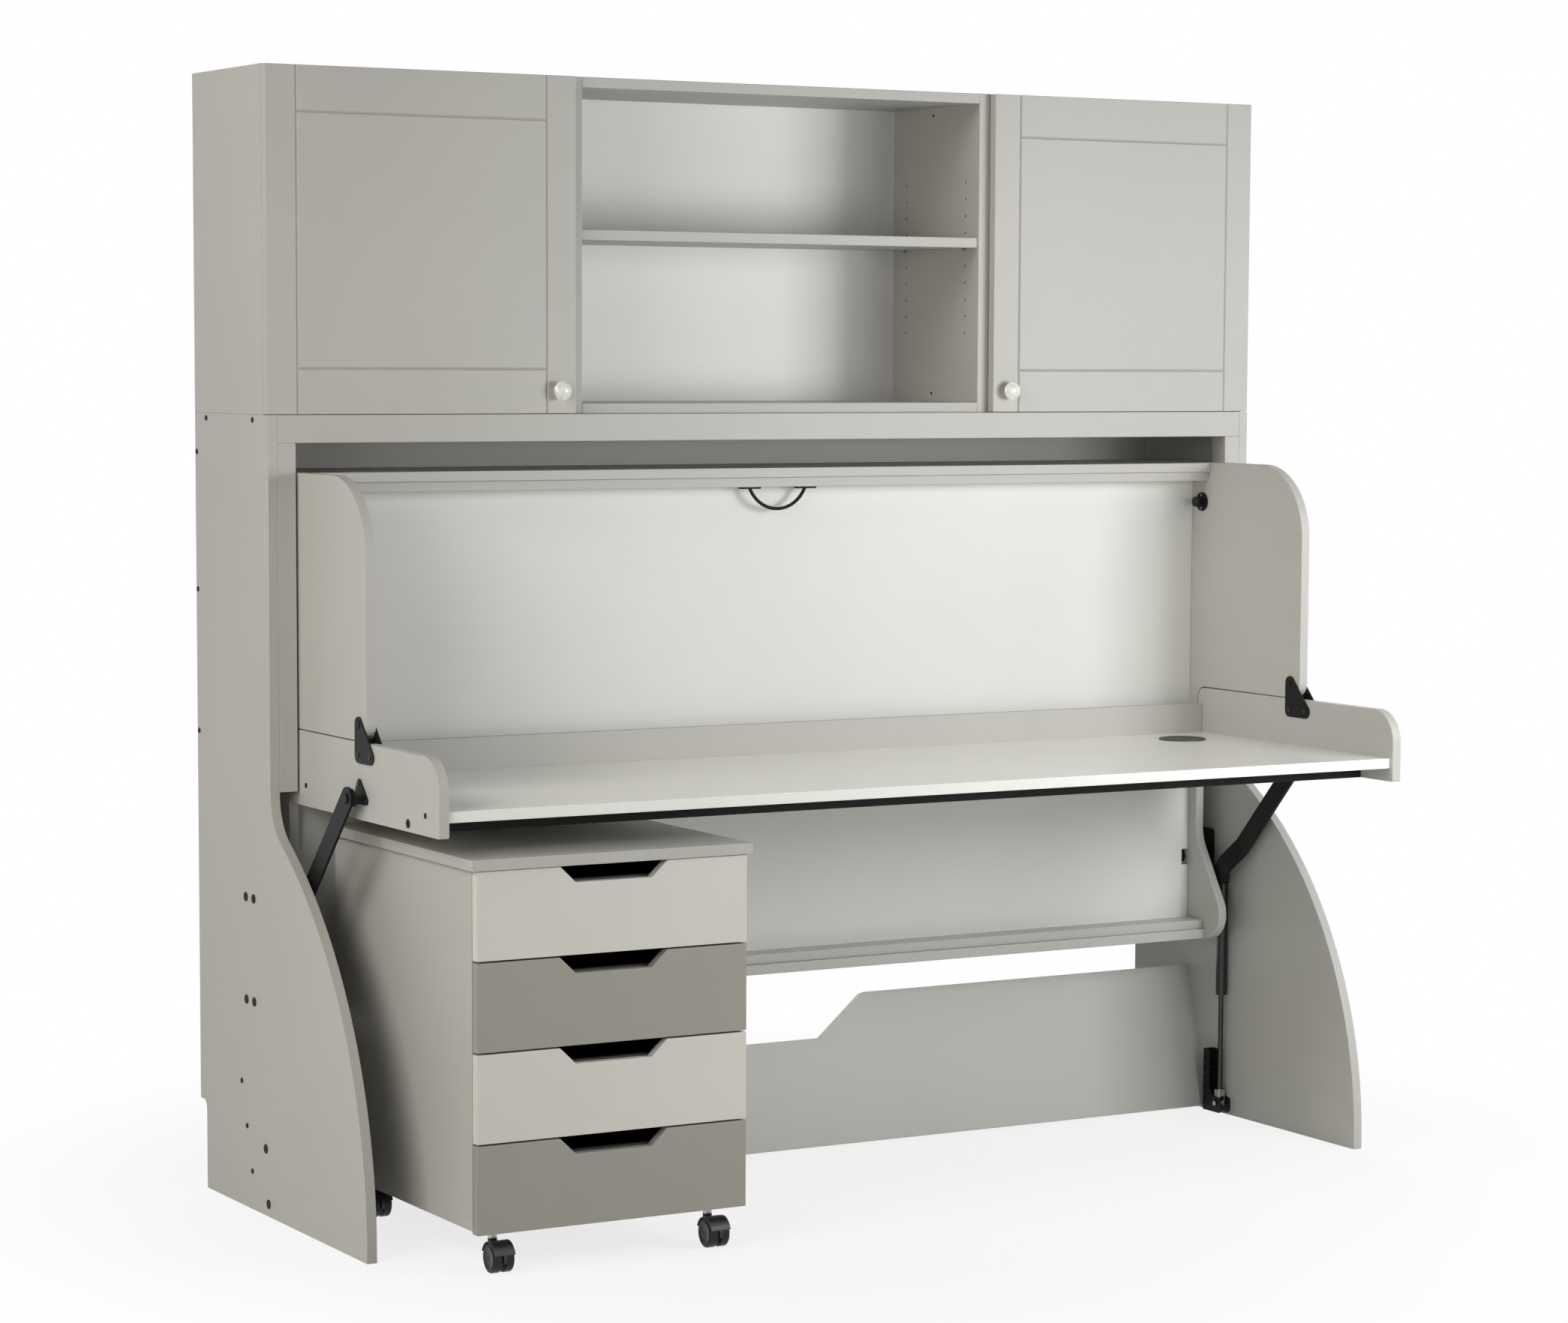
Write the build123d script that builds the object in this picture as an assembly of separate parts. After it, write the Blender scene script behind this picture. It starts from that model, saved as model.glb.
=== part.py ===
"""Wall bed with a level-riding desk, an overhead hutch and a rolling drawer pedestal.

Millimetres, +Z up, +Y towards the wall. Depths are measured forward from the wall plane.
"""

import os
from math import atan2, cos, hypot, radians, sin, sqrt, tan

from build123d import *

# Boards, gaps and fixings
BOARD = 19.0
THIN_BOARD = 6.0
EDGE = 1.2
PLAY = 0.3
RUN_PLAY = 0.05
SEAM = 2.0
OVERCUT = 1.0
BOLT_HEAD_RADIUS = 8.5
SCREW_HEAD_RADIUS = 5.0
HEAD_THICKNESS = 1.5
SHANK_RADIUS = 3.0

# Carcass
WIDTH = 2100.0
CARCASS_HEIGHT = 1422.0
CARCASS_DEPTH = 342.0
FOOT_DEPTH = 752.0
BOW_RADIUS = 770.0
BOW_LOW = 20.0
NECK_RADIUS = 98.0
SKIRTING_DEPTH = 30.0
SKIRTING_HEIGHT = 163.0
SKIRTING_RADIUS = 15.0
FASCIA_HEIGHT = 49.0
STILE_WIDTH = 34.0
STILE_DEPTH = 45.0
STILE_LENGTH = 613.0
BACK_HEIGHT = 603.0
WALL_HOLE_RADIUS = 4.0
WALL_HOLE_SPACING_X = 1200.0
WALL_HOLE_SPACING_Z = 400.0
STRETCHER_LENGTH = 290.0
STRETCHER_FOOT_DEPTH = 276.0
STRETCHER_FOOT_HEIGHT = 11.0
STRETCHER_TILT = 16.6
STRETCHER_STEP = 82.0
STRETCHER_STEP_X = 145.0
STRETCHER_RAMP = 108.0
STRETCHER_SCREW_RISE = 64.0
STRETCHER_SCREW_PITCH = 82.0
STRETCHER_SCREWS = 3
TOP_SCREW_BACK = 56.0
TOP_SCREW_FRONT = 68.0
BACK_SCREW_TOP = 52.0
BACK_SCREW_LOW = 43.0

# Bed
BED_FRONT = 630.0
BED_BACK = 50.0
BED_TOP_DROP = 101.0
BED_NECK_FRONT = 291.0
BED_TAIL = 160.0
BED_LOBE_REACH = 172.4
BED_LOBE_RADIUS = 52.0
BED_THROAT_RISE = 42.0
BED_THROAT_RADIUS = 80.0
BED_TAIL_RADIUS = 40.0
BED_CROWN_RADIUS = 140.0
BED_HEAD_RADIUS = 12.0
BASE_FRONT = 265.0
RAIL_FRONT = 326.0
TAIL_RAIL_BACK = 92.0
BATTEN_FRONT = 318.0
BATTEN_HEIGHT = 18.0
RAIL_REVEAL = 1.0
HANDLE_SPAN = 120.0
HANDLE_DROP = 42.0
HANDLE_RADIUS = 3.2
HANDLE_SINK = 2.0
HANDLE_FOOT = 40.0
HANDLE_FOOT_WIDTH = 18.0
HANDLE_FOOT_THICKNESS = 4.0
HANDLE_FOOT_EDGE = 0.8
LOCK_DEPTH = 299.0
LOCK_DROP = 79.0
LOCK_RADIUS = 4.0
LOCK_TIP = 3.5
LOCK_NECK_RADIUS = 7.0
LOCK_FLANGE = 3.0
LOCK_FLANGE_RADIUS = 18.5
LOCK_KNOB = 9.0
LOCK_KNOB_RADIUS = 10.0
LOCK_KNOB_EDGE = 2.0
LOCK_THROW = 8.0
LOCK_KEEP_SPARE = 8.0

# Desk
SEAM_HEIGHT = 870.0
DESK_SIDE_HEIGHT = 133.0
DESK_FRONT = 923.0
DESK_NOSE_RADIUS = 60.0
DESK_HEEL_RADIUS = 20.0
DESK_FOOT_RADIUS = 3.0
DESK_TOP_FRONT = 915.0
DESK_TOP_RISE = 25.0
UPSTAND = 16.0
UPSTAND_HEIGHT = 77.0
STEEL_RAIL = 25.0
STEEL_RAIL_FRONT = 827.0
STEEL_WALL = 2.0
DESK_HOLE_DEPTH = 10.0
BACK_HOLE_INSET = 76.0
BACK_HOLE_RISE = 37.0
FRONT_HOLE_INSET = 53.0
FRONT_HOLE_RISE = 34.0
SMALL_HOLE_RADIUS = 3.0
LARGE_HOLE_INSET = 122.0
LARGE_HOLE_RISE = 14.0
LARGE_HOLE_RADIUS = 4.5
GROMMET_INSET = 131.0
GROMMET_SETBACK = 117.0
GROMMET_HOLE_RADIUS = 40.0
GROMMET_FLANGE = 6.0
GROMMET_RIM = 3.0
GROMMET_RIM_EDGE = 1.5
GROMMET_TAIL = 4.0
GROMMET_WALL = 3.0

# Linkage between carcass, bed and desk
MECHANISM_GAP = 38.0
HINGE_INSET = 29.0
FLOOR_GAP = 3.0
PIVOT_DEPTH = 245.0
LINK_DROP = 126.0
HINGE_PLATE = 3.0
HINGE_PLATE_DROP = 22.0
HINGE_PLATE_REACH = 50.0
HINGE_PLATE_ROUND = 13.0
HINGE_PIN_RADIUS = 5.0
HINGE_PIN_LIP = 3.0
HINGE_PIN_HEAD = 1.5
HINGE_PIN_TAIL = 2.0
PIVOT_PLATE = 4.0
PIVOT_PLATE_WIDTH = 66.0
PIVOT_PLATE_BELOW = 35.0
PIVOT_PLATE_ABOVE = 54.0
PIVOT_PLATE_CORNER = 8.0
PIVOT_BOLT_SPACING = 36.0
PIVOT_BOLT_DROP = 14.0
PIVOT_BOLT_RISE = 16.0
PIVOT_STUD_RADIUS = 8.0
PIVOT_COLLAR = 7.0
PIVOT_STUD_END = 2.0
NUT_LENGTH = 9.0
NUT_WALL = 5.0
NUT_ROOM = 3.0
NUT_REACH_ROOM = 6.0
LINK_STUD_RADIUS = 6.0
LINK_COLLAR = 6.0
CLIP_THICKNESS = 2.0
CLIP_WALL = 4.0
BUSH_WALL = 3.0
BUSH_FLANGE = 2.5
BUSH_LIP = 6.0
ARM_WIDTH = 40.0
ARM_THICKNESS = 5.0
ARM_GAP = 5.0
ARM_OFFSET = 15.0
ARM_JOGGLE_START = 165.0
ARM_JOGGLE_END = 215.0
ARM_JOGGLE_LAG = 2.0
ARM_PIN_LIP = 4.0
ARM_PIN_HEAD = 3.0
BRACKET_APEX = 3.0
BRACKET_RISE = 26.0
BRACKET_FRONT = 31.0
BRACKET_BACK = 12.0
BRACKET_DROP = 3.0
BRACKET_ROUND = 7.0
EAR_BACK = 14.0
EAR_FRONT = 25.0
EAR_CREST_FRONT = 10.0
EAR_RISE = 17.0
EAR_SHOULDER = 10.0
EAR_DROP = 12.0
EAR_CORNER = 4.0
STRUT_REACH = 118.0
STRUT_GAP = 4.0
STRUT_PIN_RADIUS = 5.0
STRUT_STUD_PAST = 9.0
STRUT_EYE_WALL = 7.0
STRUT_EYE_HALF = 8.0
STRUT_EYE_SINK = 3.0
STRUT_RADIUS = 11.0
STRUT_EDGE = 2.0
STRUT_BODY = 229.0
STRUT_TUBE_WALL = 2.4
STRUT_END_WALL = 8.0
STRUT_GLAND = 10.0
STRUT_ROD_RADIUS = 5.0
STRUT_ROD_FOOT = 51.0
PISTON_GAP = 2.0
PISTON_LENGTH = 8.0
CLEVIS_WALL = 3.0
CLEVIS_CHEEK = 4.0
CLEVIS_SLOT = 14.0
CLEVIS_EDGE = 1.0
CLEVIS_PIN_RADIUS = 4.0
CLEVIS_PIN_HEAD = 2.5
CLEVIS_PIN_HEAD_RADIUS = 5.5
STRUT_PIN_HEIGHT = 24.0
STRUT_FOOT_LIFT = 5.0
STRUT_FOOT_HEIGHT = 125.0
STRUT_FOOT_BACK = 283.0
FOOT_STEEL = 2.5
FOOT_FLANGE_INSIDE = 20.0
FOOT_FLANGE_PANEL = 34.0
FOOT_CHEEK_REACH = 62.0
FOOT_CHEEK_HEIGHT = 31.0
FOOT_CHEEK_CORNER = 8.0
FOOT_CHEEK_SWEEP = 14.0
FOOT_HOLE_INSET = 6.0
FOOT_HOLE_RISE = 26.0
FOOT_HOLE_PITCH = 20.0
FOOT_HOLE_RADIUS = 3.0
FOOT_HOLES = 5
FOOT_BOLT_HIGH_INSET = 29.0
FOOT_BOLT_DROP = 9.0
FOOT_BOLT_LOW_INSET = 40.0
FOOT_BOLT_RISE = 18.0

# Hutch
HUTCH_HEIGHT = 608.0
HUTCH_DEPTH = 320.0
CENTRE_WIDTH = 851.0
DOOR_GAP = 2.0
DOOR_REVEAL = 4.0
GROOVE = 4.0
GROOVE_INSET_X = 58.0
GROOVE_INSET_Z = 80.0
DOOR_MARGIN = 1.0
SHELF_SETBACK = 4.0
CABINET_SHELF_SETBACK = 30.0
PIN_RADIUS = 2.5
PIN_REACH = 8.0
PIN_HOLE_DEPTH = 9.0
PIN_PITCH = 32.0
PIN_ROWS = 10
PIN_FIRST_RISE = 152.5
PIN_INSET = 48.0
SHELF_PIN_ROW = 5
KNOB_INSET = 34.0
KNOB_RISE = 41.0
KNOB_RADIUS = 18.0
KNOB_REACH = 25.0
KNOB_FOOT_RADIUS = 8.0
KNOB_NECK_RADIUS = 7.0
KNOB_NECK = 10.0
KNOB_SHOULDER_RADIUS = 11.2
KNOB_SHOULDER = 14.0
KNOB_CROWN = 9.0
HINGE_ARM_LENGTH = 64.0
HINGE_ARM_WIDTH = 20.0
HINGE_ARM_SETBACK = 2.0
HINGE_ARM_PAST = 8.0
HINGE_NOSE = 3.0
HINGE_NOSE_ROOT = 6.0
CUP_RADIUS = 17.5
CUP_DEPTH = 12.0
CUP_WALL = 2.0
CUP_INSET = 40.0
CUP_HEIGHT_INSET = 95.0

# Pedestal
PEDESTAL_OFFSET = 375.0
PEDESTAL_FRONT = 938.0
PEDESTAL_DEPTH = 600.0
PEDESTAL_WIDTH = 530.0
PEDESTAL_HEIGHT = 700.0
PEDESTAL_LIP = 10.0
CASTER_HEIGHT = 74.0
DRAWER_COUNT = 4
DRAWER_GAP = 3.0
DRAWER_WALL = 12.0
DRAWER_BOX_HEIGHT = 100.0
DRAWER_BOX_RISE = 25.0
DRAWER_BACK_ROOM = 20.0
FRONT_REVEAL = 1.0
FRONT_OVERHANG = 4.0
RUNNER = 12.5
RUNNER_HEIGHT = 42.0
RUNNER_RISE = 20.0
RUNNER_BACK = 30.0
RUNNER_FRONT = 8.0
RUNNER_EDGE = 1.0
GRIP_WIDTH = 205.0
GRIP_FOOT_WIDTH = 144.0
GRIP_DEPTH = 28.0
WHEEL_RADIUS = 25.0
WHEEL_WIDTH = 15.0
WHEEL_EDGE = 2.0
WHEEL_TRAIL = 24.0
CASTER_WEB = 6.0
CASTER_WEB_DROP = 6.0
HOOD_ROOM = 1.0
HOOD_WALL = 2.5
HOOD_RISE = 8.0
AXLE_RADIUS = 3.0
STEM_RADIUS = 8.0
STEM_RISE = 10.0
BRIDGE_LAP = 2.0
BRIDGE_FRONT = 14.0
BRIDGE_DROP = 6.0
CASTER_PLATE = 3.0
CASTER_PLATE_RADIUS = 17.0
CASTER_INSET_X = 50.0
CASTER_INSET_FRONT = 52.0
CASTER_INSET_BACK = 50.0

# Positions that follow from the sizes
WALL_Y = PEDESTAL_FRONT / 2
HALF = WIDTH / 2
INNER = HALF - BOARD
DESK_X = INNER - MECHANISM_GAP
DESK_IN = DESK_X - BOARD
BED_X = DESK_X - PLAY
BED_IN = DESK_IN + PLAY
BED_TOP = CARCASS_HEIGHT - BED_TOP_DROP
DESK_CREST = SEAM_HEIGHT - SEAM / 2
DESK_FOOT = DESK_CREST - DESK_SIDE_HEIGHT
BED_SEAM = SEAM_HEIGHT + SEAM / 2
HINGE_DEPTH = BED_FRONT - HINGE_INSET
HINGE_HEIGHT = BED_SEAM + HINGE_INSET
PIVOT_HEIGHT = FLOOR_GAP + (HINGE_DEPTH - PIVOT_DEPTH) + (HINGE_HEIGHT - DESK_FOOT)
BED_BOTTOM = PIVOT_HEIGHT - BED_TAIL
LINK_HEIGHT = PIVOT_HEIGHT - LINK_DROP
TIP_HEIGHT = HINGE_HEIGHT - LINK_DROP
ARM_LENGTH = hypot(HINGE_DEPTH - PIVOT_DEPTH, TIP_HEIGHT - LINK_HEIGHT)
ARM_ANGLE = atan2(TIP_HEIGHT - LINK_HEIGHT, HINGE_DEPTH - PIVOT_DEPTH)
ARM_LOW = DESK_X + ARM_GAP
ARM_HIGH = ARM_LOW + ARM_OFFSET
STRUT_DEPTH = PIVOT_DEPTH + STRUT_REACH * cos(ARM_ANGLE)
STRUT_TOP = LINK_HEIGHT + STRUT_REACH * sin(ARM_ANGLE)
STRUT_X = ARM_LOW + ARM_THICKNESS + STRUT_RADIUS + STRUT_GAP
TOP_UNDER = CARCASS_HEIGHT - BOARD
RAIL_IN = BED_TOP - BOARD
TAIL_IN = BED_BOTTOM + BOARD
DESK_TOP_LOW = DESK_FOOT + DESK_TOP_RISE
DESK_TOP_HIGH = DESK_TOP_LOW + BOARD
DESK_BACK = BED_NECK_FRONT + SEAM
HUTCH_LOW = CARCASS_HEIGHT
HUTCH_HIGH = CARCASS_HEIGHT + HUTCH_HEIGHT
CENTRE_IN = CENTRE_WIDTH / 2
CABINET_IN = CENTRE_IN + 2 * BOARD
DOOR_BACK = HUTCH_DEPTH + DOOR_GAP
DOOR_FRONT = DOOR_BACK + BOARD
DOOR_EDGE = CENTRE_IN + BOARD + DOOR_REVEAL
PEDESTAL_X = PEDESTAL_OFFSET - HALF

os.makedirs("parts", exist_ok=True)


def at(depth):
    """Y of a depth in front of the wall plane."""
    return WALL_Y - depth


def slab(x, depth, z, soft=EDGE):
    """Board between two x, two depths and two heights, with softened edges."""
    size = (x[1] - x[0], depth[1] - depth[0], z[1] - z[0])
    centre = Pos((x[0] + x[1]) / 2, at((depth[0] + depth[1]) / 2), (z[0] + z[1]) / 2)
    board = centre * Box(*size)
    if soft:
        board = fillet(board.edges(), soft)
    return board


def rod_x(x0, x1, depth, z, radius):
    """Round bar along X."""
    return Pos((x0 + x1) / 2, at(depth), z) * Rot(0, 90, 0) * Cylinder(radius, x1 - x0)


def rod_y(x, depth0, depth1, z, radius):
    """Round bar along Y."""
    return Pos(x, at((depth0 + depth1) / 2), z) * Rot(90, 0, 0) * Cylinder(radius, depth1 - depth0)


def rod_z(x, depth, z0, z1, radius):
    """Round bar along Z."""
    return Pos(x, at(depth), (z0 + z1) / 2) * Cylinder(radius, z1 - z0)


def rounded_face(corners):
    """Closed face through (depth, height, radius) corners, each rounded by an arc."""
    ends = []
    pieces = []
    for i, (depth, z, radius) in enumerate(corners):
        before = corners[i - 1]
        after = corners[(i + 1) % len(corners)]
        here = Vector(at(depth), z)
        u = (Vector(at(before[0]), before[1]) - here).normalized()
        v = (Vector(at(after[0]), after[1]) - here).normalized()
        if radius == 0:
            ends.append((here, here))
            continue
        half = radians(u.get_angle(v) / 2)
        inward = (u + v).normalized()
        start = here + u * (radius / tan(half))
        stop = here + v * (radius / tan(half))
        middle = here + inward * (radius / sin(half) - radius)
        pieces.append(ThreePointArc(start, middle, stop))
        ends.append((start, stop))
    for i in range(len(corners)):
        pieces.append(Line(ends[i - 1][1], ends[i][0]))
    return make_face(pieces)


def plate_x(face, x0, x1, soft=0.0):
    """Plate with a side outline, between two x, its outline edges softened."""
    plate = extrude(Plane.YZ.offset(x0) * face, x1 - x0)
    if soft:
        rim = [e for e in plate.edges() if e.bounding_box().size.X < RUN_PLAY]
        plate = fillet(rim, soft)
    return plate


def other(shape):
    """The same shape on the left."""
    return mirror(shape, about=Plane.YZ)


def pair(shape):
    """The shape on the right and its mirror image on the left."""
    return [shape, other(shape)]


def save(name, *shapes):
    """Write one node with all its solids."""
    solids = [solid for shape in shapes for solid in shape.solids()]
    export_step(Compound(children=solids), f"parts/{name}.step")


# Side panels
bow_depth = FOOT_DEPTH - BOW_RADIUS
neck_depth = CARCASS_DEPTH + NECK_RADIUS
neck_height = BOW_LOW + sqrt((BOW_RADIUS + NECK_RADIUS) ** 2 - (neck_depth - bow_depth) ** 2)
bow_end = atan2(neck_height - BOW_LOW, neck_depth - bow_depth)
meet = (bow_depth + BOW_RADIUS * cos(bow_end), BOW_LOW + BOW_RADIUS * sin(bow_end))
bow_middle = (bow_depth + BOW_RADIUS * cos(bow_end / 2), BOW_LOW + BOW_RADIUS * sin(bow_end / 2))
neck_turn = (bow_end + radians(180) + radians(180)) / 2
neck_middle = (neck_depth + NECK_RADIUS * cos(neck_turn), neck_height + NECK_RADIUS * sin(neck_turn))
notch = SKIRTING_DEPTH - SKIRTING_RADIUS
notch_bend = SKIRTING_RADIUS * (1 - sin(radians(45)))


def side_point(depth, z):
    """Point of the side panel's outline."""
    return (at(depth), z)


side_edges = [
    Line(side_point(SKIRTING_DEPTH, 0), side_point(FOOT_DEPTH, 0)),
    Line(side_point(FOOT_DEPTH, 0), side_point(FOOT_DEPTH, BOW_LOW)),
    ThreePointArc(side_point(FOOT_DEPTH, BOW_LOW), side_point(*bow_middle), side_point(*meet)),
    ThreePointArc(side_point(*meet), side_point(*neck_middle), side_point(CARCASS_DEPTH, neck_height)),
    Line(side_point(CARCASS_DEPTH, neck_height), side_point(CARCASS_DEPTH, CARCASS_HEIGHT)),
    Line(side_point(CARCASS_DEPTH, CARCASS_HEIGHT), side_point(0, CARCASS_HEIGHT)),
    Line(side_point(0, CARCASS_HEIGHT), side_point(0, SKIRTING_HEIGHT)),
    Line(side_point(0, SKIRTING_HEIGHT), side_point(notch, SKIRTING_HEIGHT)),
    ThreePointArc(
        side_point(notch, SKIRTING_HEIGHT),
        side_point(SKIRTING_DEPTH - notch_bend, SKIRTING_HEIGHT - notch_bend),
        side_point(SKIRTING_DEPTH, SKIRTING_HEIGHT - SKIRTING_RADIUS),
    ),
    Line(side_point(SKIRTING_DEPTH, SKIRTING_HEIGHT - SKIRTING_RADIUS), side_point(SKIRTING_DEPTH, 0)),
]
side_panel = plate_x(make_face(side_edges), INNER, HALF, EDGE)

# Stretcher, leaning back from the floor
tilt = radians(STRETCHER_TILT)
stretcher_plane = Plane(
    origin=(0, at(STRETCHER_FOOT_DEPTH), STRETCHER_FOOT_HEIGHT),
    x_dir=(1, 0, 0),
    z_dir=(0, -cos(tilt), sin(tilt)),
)
stretcher_low = STRETCHER_LENGTH - STRETCHER_STEP
stretcher_outline = make_face(
    Polyline(
        (-INNER, 0),
        (INNER, 0),
        (INNER, STRETCHER_LENGTH),
        (STRETCHER_STEP_X + STRETCHER_RAMP, STRETCHER_LENGTH),
        (STRETCHER_STEP_X, stretcher_low),
        (-STRETCHER_STEP_X, stretcher_low),
        (-STRETCHER_STEP_X - STRETCHER_RAMP, STRETCHER_LENGTH),
        (-INNER, STRETCHER_LENGTH),
        close=True,
    )
)
stretcher = extrude(stretcher_plane * stretcher_outline, -BOARD)
stretcher_screws = []
for row in range(STRETCHER_SCREWS):
    along = STRETCHER_SCREW_RISE + STRETCHER_SCREW_PITCH * row
    middle = stretcher_plane.from_local_coords((0, along, -BOARD / 2))
    stretcher_screws.append((WALL_Y - middle.Y, middle.Z))

# Fixings through the side panels, as (depth, height)
pivot_plate_low = LINK_HEIGHT - PIVOT_PLATE_BELOW
pivot_plate_high = PIVOT_HEIGHT + PIVOT_PLATE_ABOVE
strut_foot_low = STRUT_FOOT_LIFT
strut_foot_high = strut_foot_low + STRUT_FOOT_HEIGHT
bolt_spots = [
    (STRUT_FOOT_BACK + FOOT_BOLT_HIGH_INSET, strut_foot_high - FOOT_BOLT_DROP),
    (STRUT_FOOT_BACK + FOOT_BOLT_LOW_INSET, strut_foot_low + FOOT_BOLT_RISE),
]
for depth in (PIVOT_DEPTH - PIVOT_BOLT_SPACING / 2, PIVOT_DEPTH + PIVOT_BOLT_SPACING / 2):
    bolt_spots.append((depth, pivot_plate_high - PIVOT_BOLT_DROP))
    bolt_spots.append((depth, pivot_plate_low + PIVOT_BOLT_RISE))
screw_spots = [
    (TOP_SCREW_BACK, CARCASS_HEIGHT - BOARD / 2),
    (CARCASS_DEPTH - TOP_SCREW_FRONT, CARCASS_HEIGHT - BOARD / 2),
    (BOARD / 2, TOP_UNDER - BACK_SCREW_TOP),
    (BOARD / 2, TOP_UNDER - BACK_HEIGHT / 2),
    (BOARD / 2, TOP_UNDER - BACK_HEIGHT + BACK_SCREW_LOW),
]
screw_spots += stretcher_screws
fasteners = []
for spots, head in ((bolt_spots, BOLT_HEAD_RADIUS), (screw_spots, SCREW_HEAD_RADIUS)):
    for depth, z in spots:
        side_panel -= rod_x(INNER - OVERCUT, HALF + OVERCUT, depth, z, SHANK_RADIUS + RUN_PLAY)
        cap = rod_x(HALF, HALF + HEAD_THICKNESS, depth, z, head)
        cap = chamfer(cap.edges().sort_by(Axis.X)[-1], HEAD_THICKNESS / 2)
        fasteners.append(cap + rod_x(INNER, HALF, depth, z, SHANK_RADIUS))
save("side_panel_right", side_panel)
save("side_panel_left", other(side_panel))
save("floor_stretcher", stretcher)

# Top, front frame and wall-fixed back panel
save("carcass_top", slab((-INNER, INNER), (0, CARCASS_DEPTH - BOARD), (TOP_UNDER, CARCASS_HEIGHT)))
fascia_low = CARCASS_HEIGHT - FASCIA_HEIGHT
fascia = slab((-INNER, INNER), (CARCASS_DEPTH - BOARD, CARCASS_DEPTH), (fascia_low, CARCASS_HEIGHT))
stile_edge = INNER - STILE_WIDTH
stile = slab(
    (stile_edge, INNER),
    (CARCASS_DEPTH - STILE_DEPTH, CARCASS_DEPTH),
    (fascia_low - STILE_LENGTH, fascia_low),
)
lock_height = BED_TOP - LOCK_DROP
keep_end = stile_edge + LOCK_THROW + LOCK_KEEP_SPARE
keep = rod_x(stile_edge - OVERCUT, keep_end, LOCK_DEPTH, lock_height, LOCK_RADIUS + PLAY)
save("front_frame", fascia, stile - keep, other(stile))
back_panel = slab((-INNER, INNER), (0, BOARD), (TOP_UNDER - BACK_HEIGHT, TOP_UNDER))
wall_hole_middle = TOP_UNDER - BACK_HEIGHT / 2
for x in (-WALL_HOLE_SPACING_X / 2, WALL_HOLE_SPACING_X / 2):
    for z in (wall_hole_middle - WALL_HOLE_SPACING_Z / 2, wall_hole_middle + WALL_HOLE_SPACING_Z / 2):
        back_panel -= rod_y(x, -OVERCUT, BOARD + OVERCUT, z, WALL_HOLE_RADIUS)
save("back_panel", back_panel)

# Pivot brackets with a stud for the bed and a stud for the link arm
plate_face = INNER - PIVOT_PLATE
bracket = slab(
    (plate_face, INNER),
    (PIVOT_DEPTH - PIVOT_PLATE_WIDTH / 2, PIVOT_DEPTH + PIVOT_PLATE_WIDTH / 2),
    (pivot_plate_low, pivot_plate_high),
    0,
)
bracket = fillet(bracket.edges().filter_by(Axis.X), PIVOT_PLATE_CORNER)
bush_face = BED_X + BUSH_FLANGE
nut_face = BED_IN - PLAY
nut_end = nut_face - NUT_LENGTH
nut_radius = PIVOT_STUD_RADIUS + NUT_WALL
clip_face = ARM_LOW - PLAY
clip_end = clip_face - CLIP_THICKNESS
arm_face = ARM_LOW + ARM_THICKNESS
bracket += rod_x(bush_face + PLAY, plate_face, PIVOT_DEPTH, PIVOT_HEIGHT, PIVOT_STUD_RADIUS + PIVOT_COLLAR)
bracket += rod_x(nut_end - PIVOT_STUD_END, plate_face, PIVOT_DEPTH, PIVOT_HEIGHT, PIVOT_STUD_RADIUS)
bracket += rod_x(arm_face + PLAY, plate_face, PIVOT_DEPTH, LINK_HEIGHT, LINK_STUD_RADIUS + LINK_COLLAR)
bracket += rod_x(clip_end, plate_face, PIVOT_DEPTH, LINK_HEIGHT, LINK_STUD_RADIUS)
save("pivot_brackets", *pair(bracket))
nut_plane = Plane(origin=(nut_end, at(PIVOT_DEPTH), PIVOT_HEIGHT), x_dir=(0, 1, 0), z_dir=(1, 0, 0))
nut = extrude(nut_plane * RegularPolygon(nut_radius, 6), NUT_LENGTH)
nut -= rod_x(nut_end - OVERCUT, nut_face + OVERCUT, PIVOT_DEPTH, PIVOT_HEIGHT, PIVOT_STUD_RADIUS)
clip = rod_x(clip_end, clip_face, PIVOT_DEPTH, LINK_HEIGHT, LINK_STUD_RADIUS + CLIP_WALL)
clip -= rod_x(clip_end - OVERCUT, clip_face + OVERCUT, PIVOT_DEPTH, LINK_HEIGHT, LINK_STUD_RADIUS)
fasteners += [nut, clip]
save("carcass_bolts", *[one for fastener in fasteners for one in pair(fastener)])

# Strut feet: a perforated channel on each side panel, with two cheeks beside the strut's clevis
clevis_half = STRUT_ROD_RADIUS + CLEVIS_WALL
cheek_face = STRUT_X - clevis_half - PLAY
foot_face = cheek_face - FOOT_STEEL
web_face = INNER - FOOT_STEEL
foot_z = (strut_foot_low, strut_foot_high)
inside_front = STRUT_FOOT_BACK + FOOT_FLANGE_INSIDE
panel_front = STRUT_FOOT_BACK + FOOT_FLANGE_PANEL
channel = slab((foot_face, INNER), (STRUT_FOOT_BACK, STRUT_FOOT_BACK + FOOT_STEEL), foot_z, 0)
channel += slab((foot_face, cheek_face), (STRUT_FOOT_BACK, inside_front), foot_z, 0)
channel += slab((web_face, INNER), (STRUT_FOOT_BACK, panel_front), foot_z, 0)
for row in range(FOOT_HOLES):
    hole_height = strut_foot_low + FOOT_HOLE_RISE + FOOT_HOLE_PITCH * row
    hole_depth = STRUT_FOOT_BACK + FOOT_HOLE_INSET
    channel -= rod_x(foot_face - OVERCUT, INNER + OVERCUT, hole_depth, hole_height, FOOT_HOLE_RADIUS)


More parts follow.
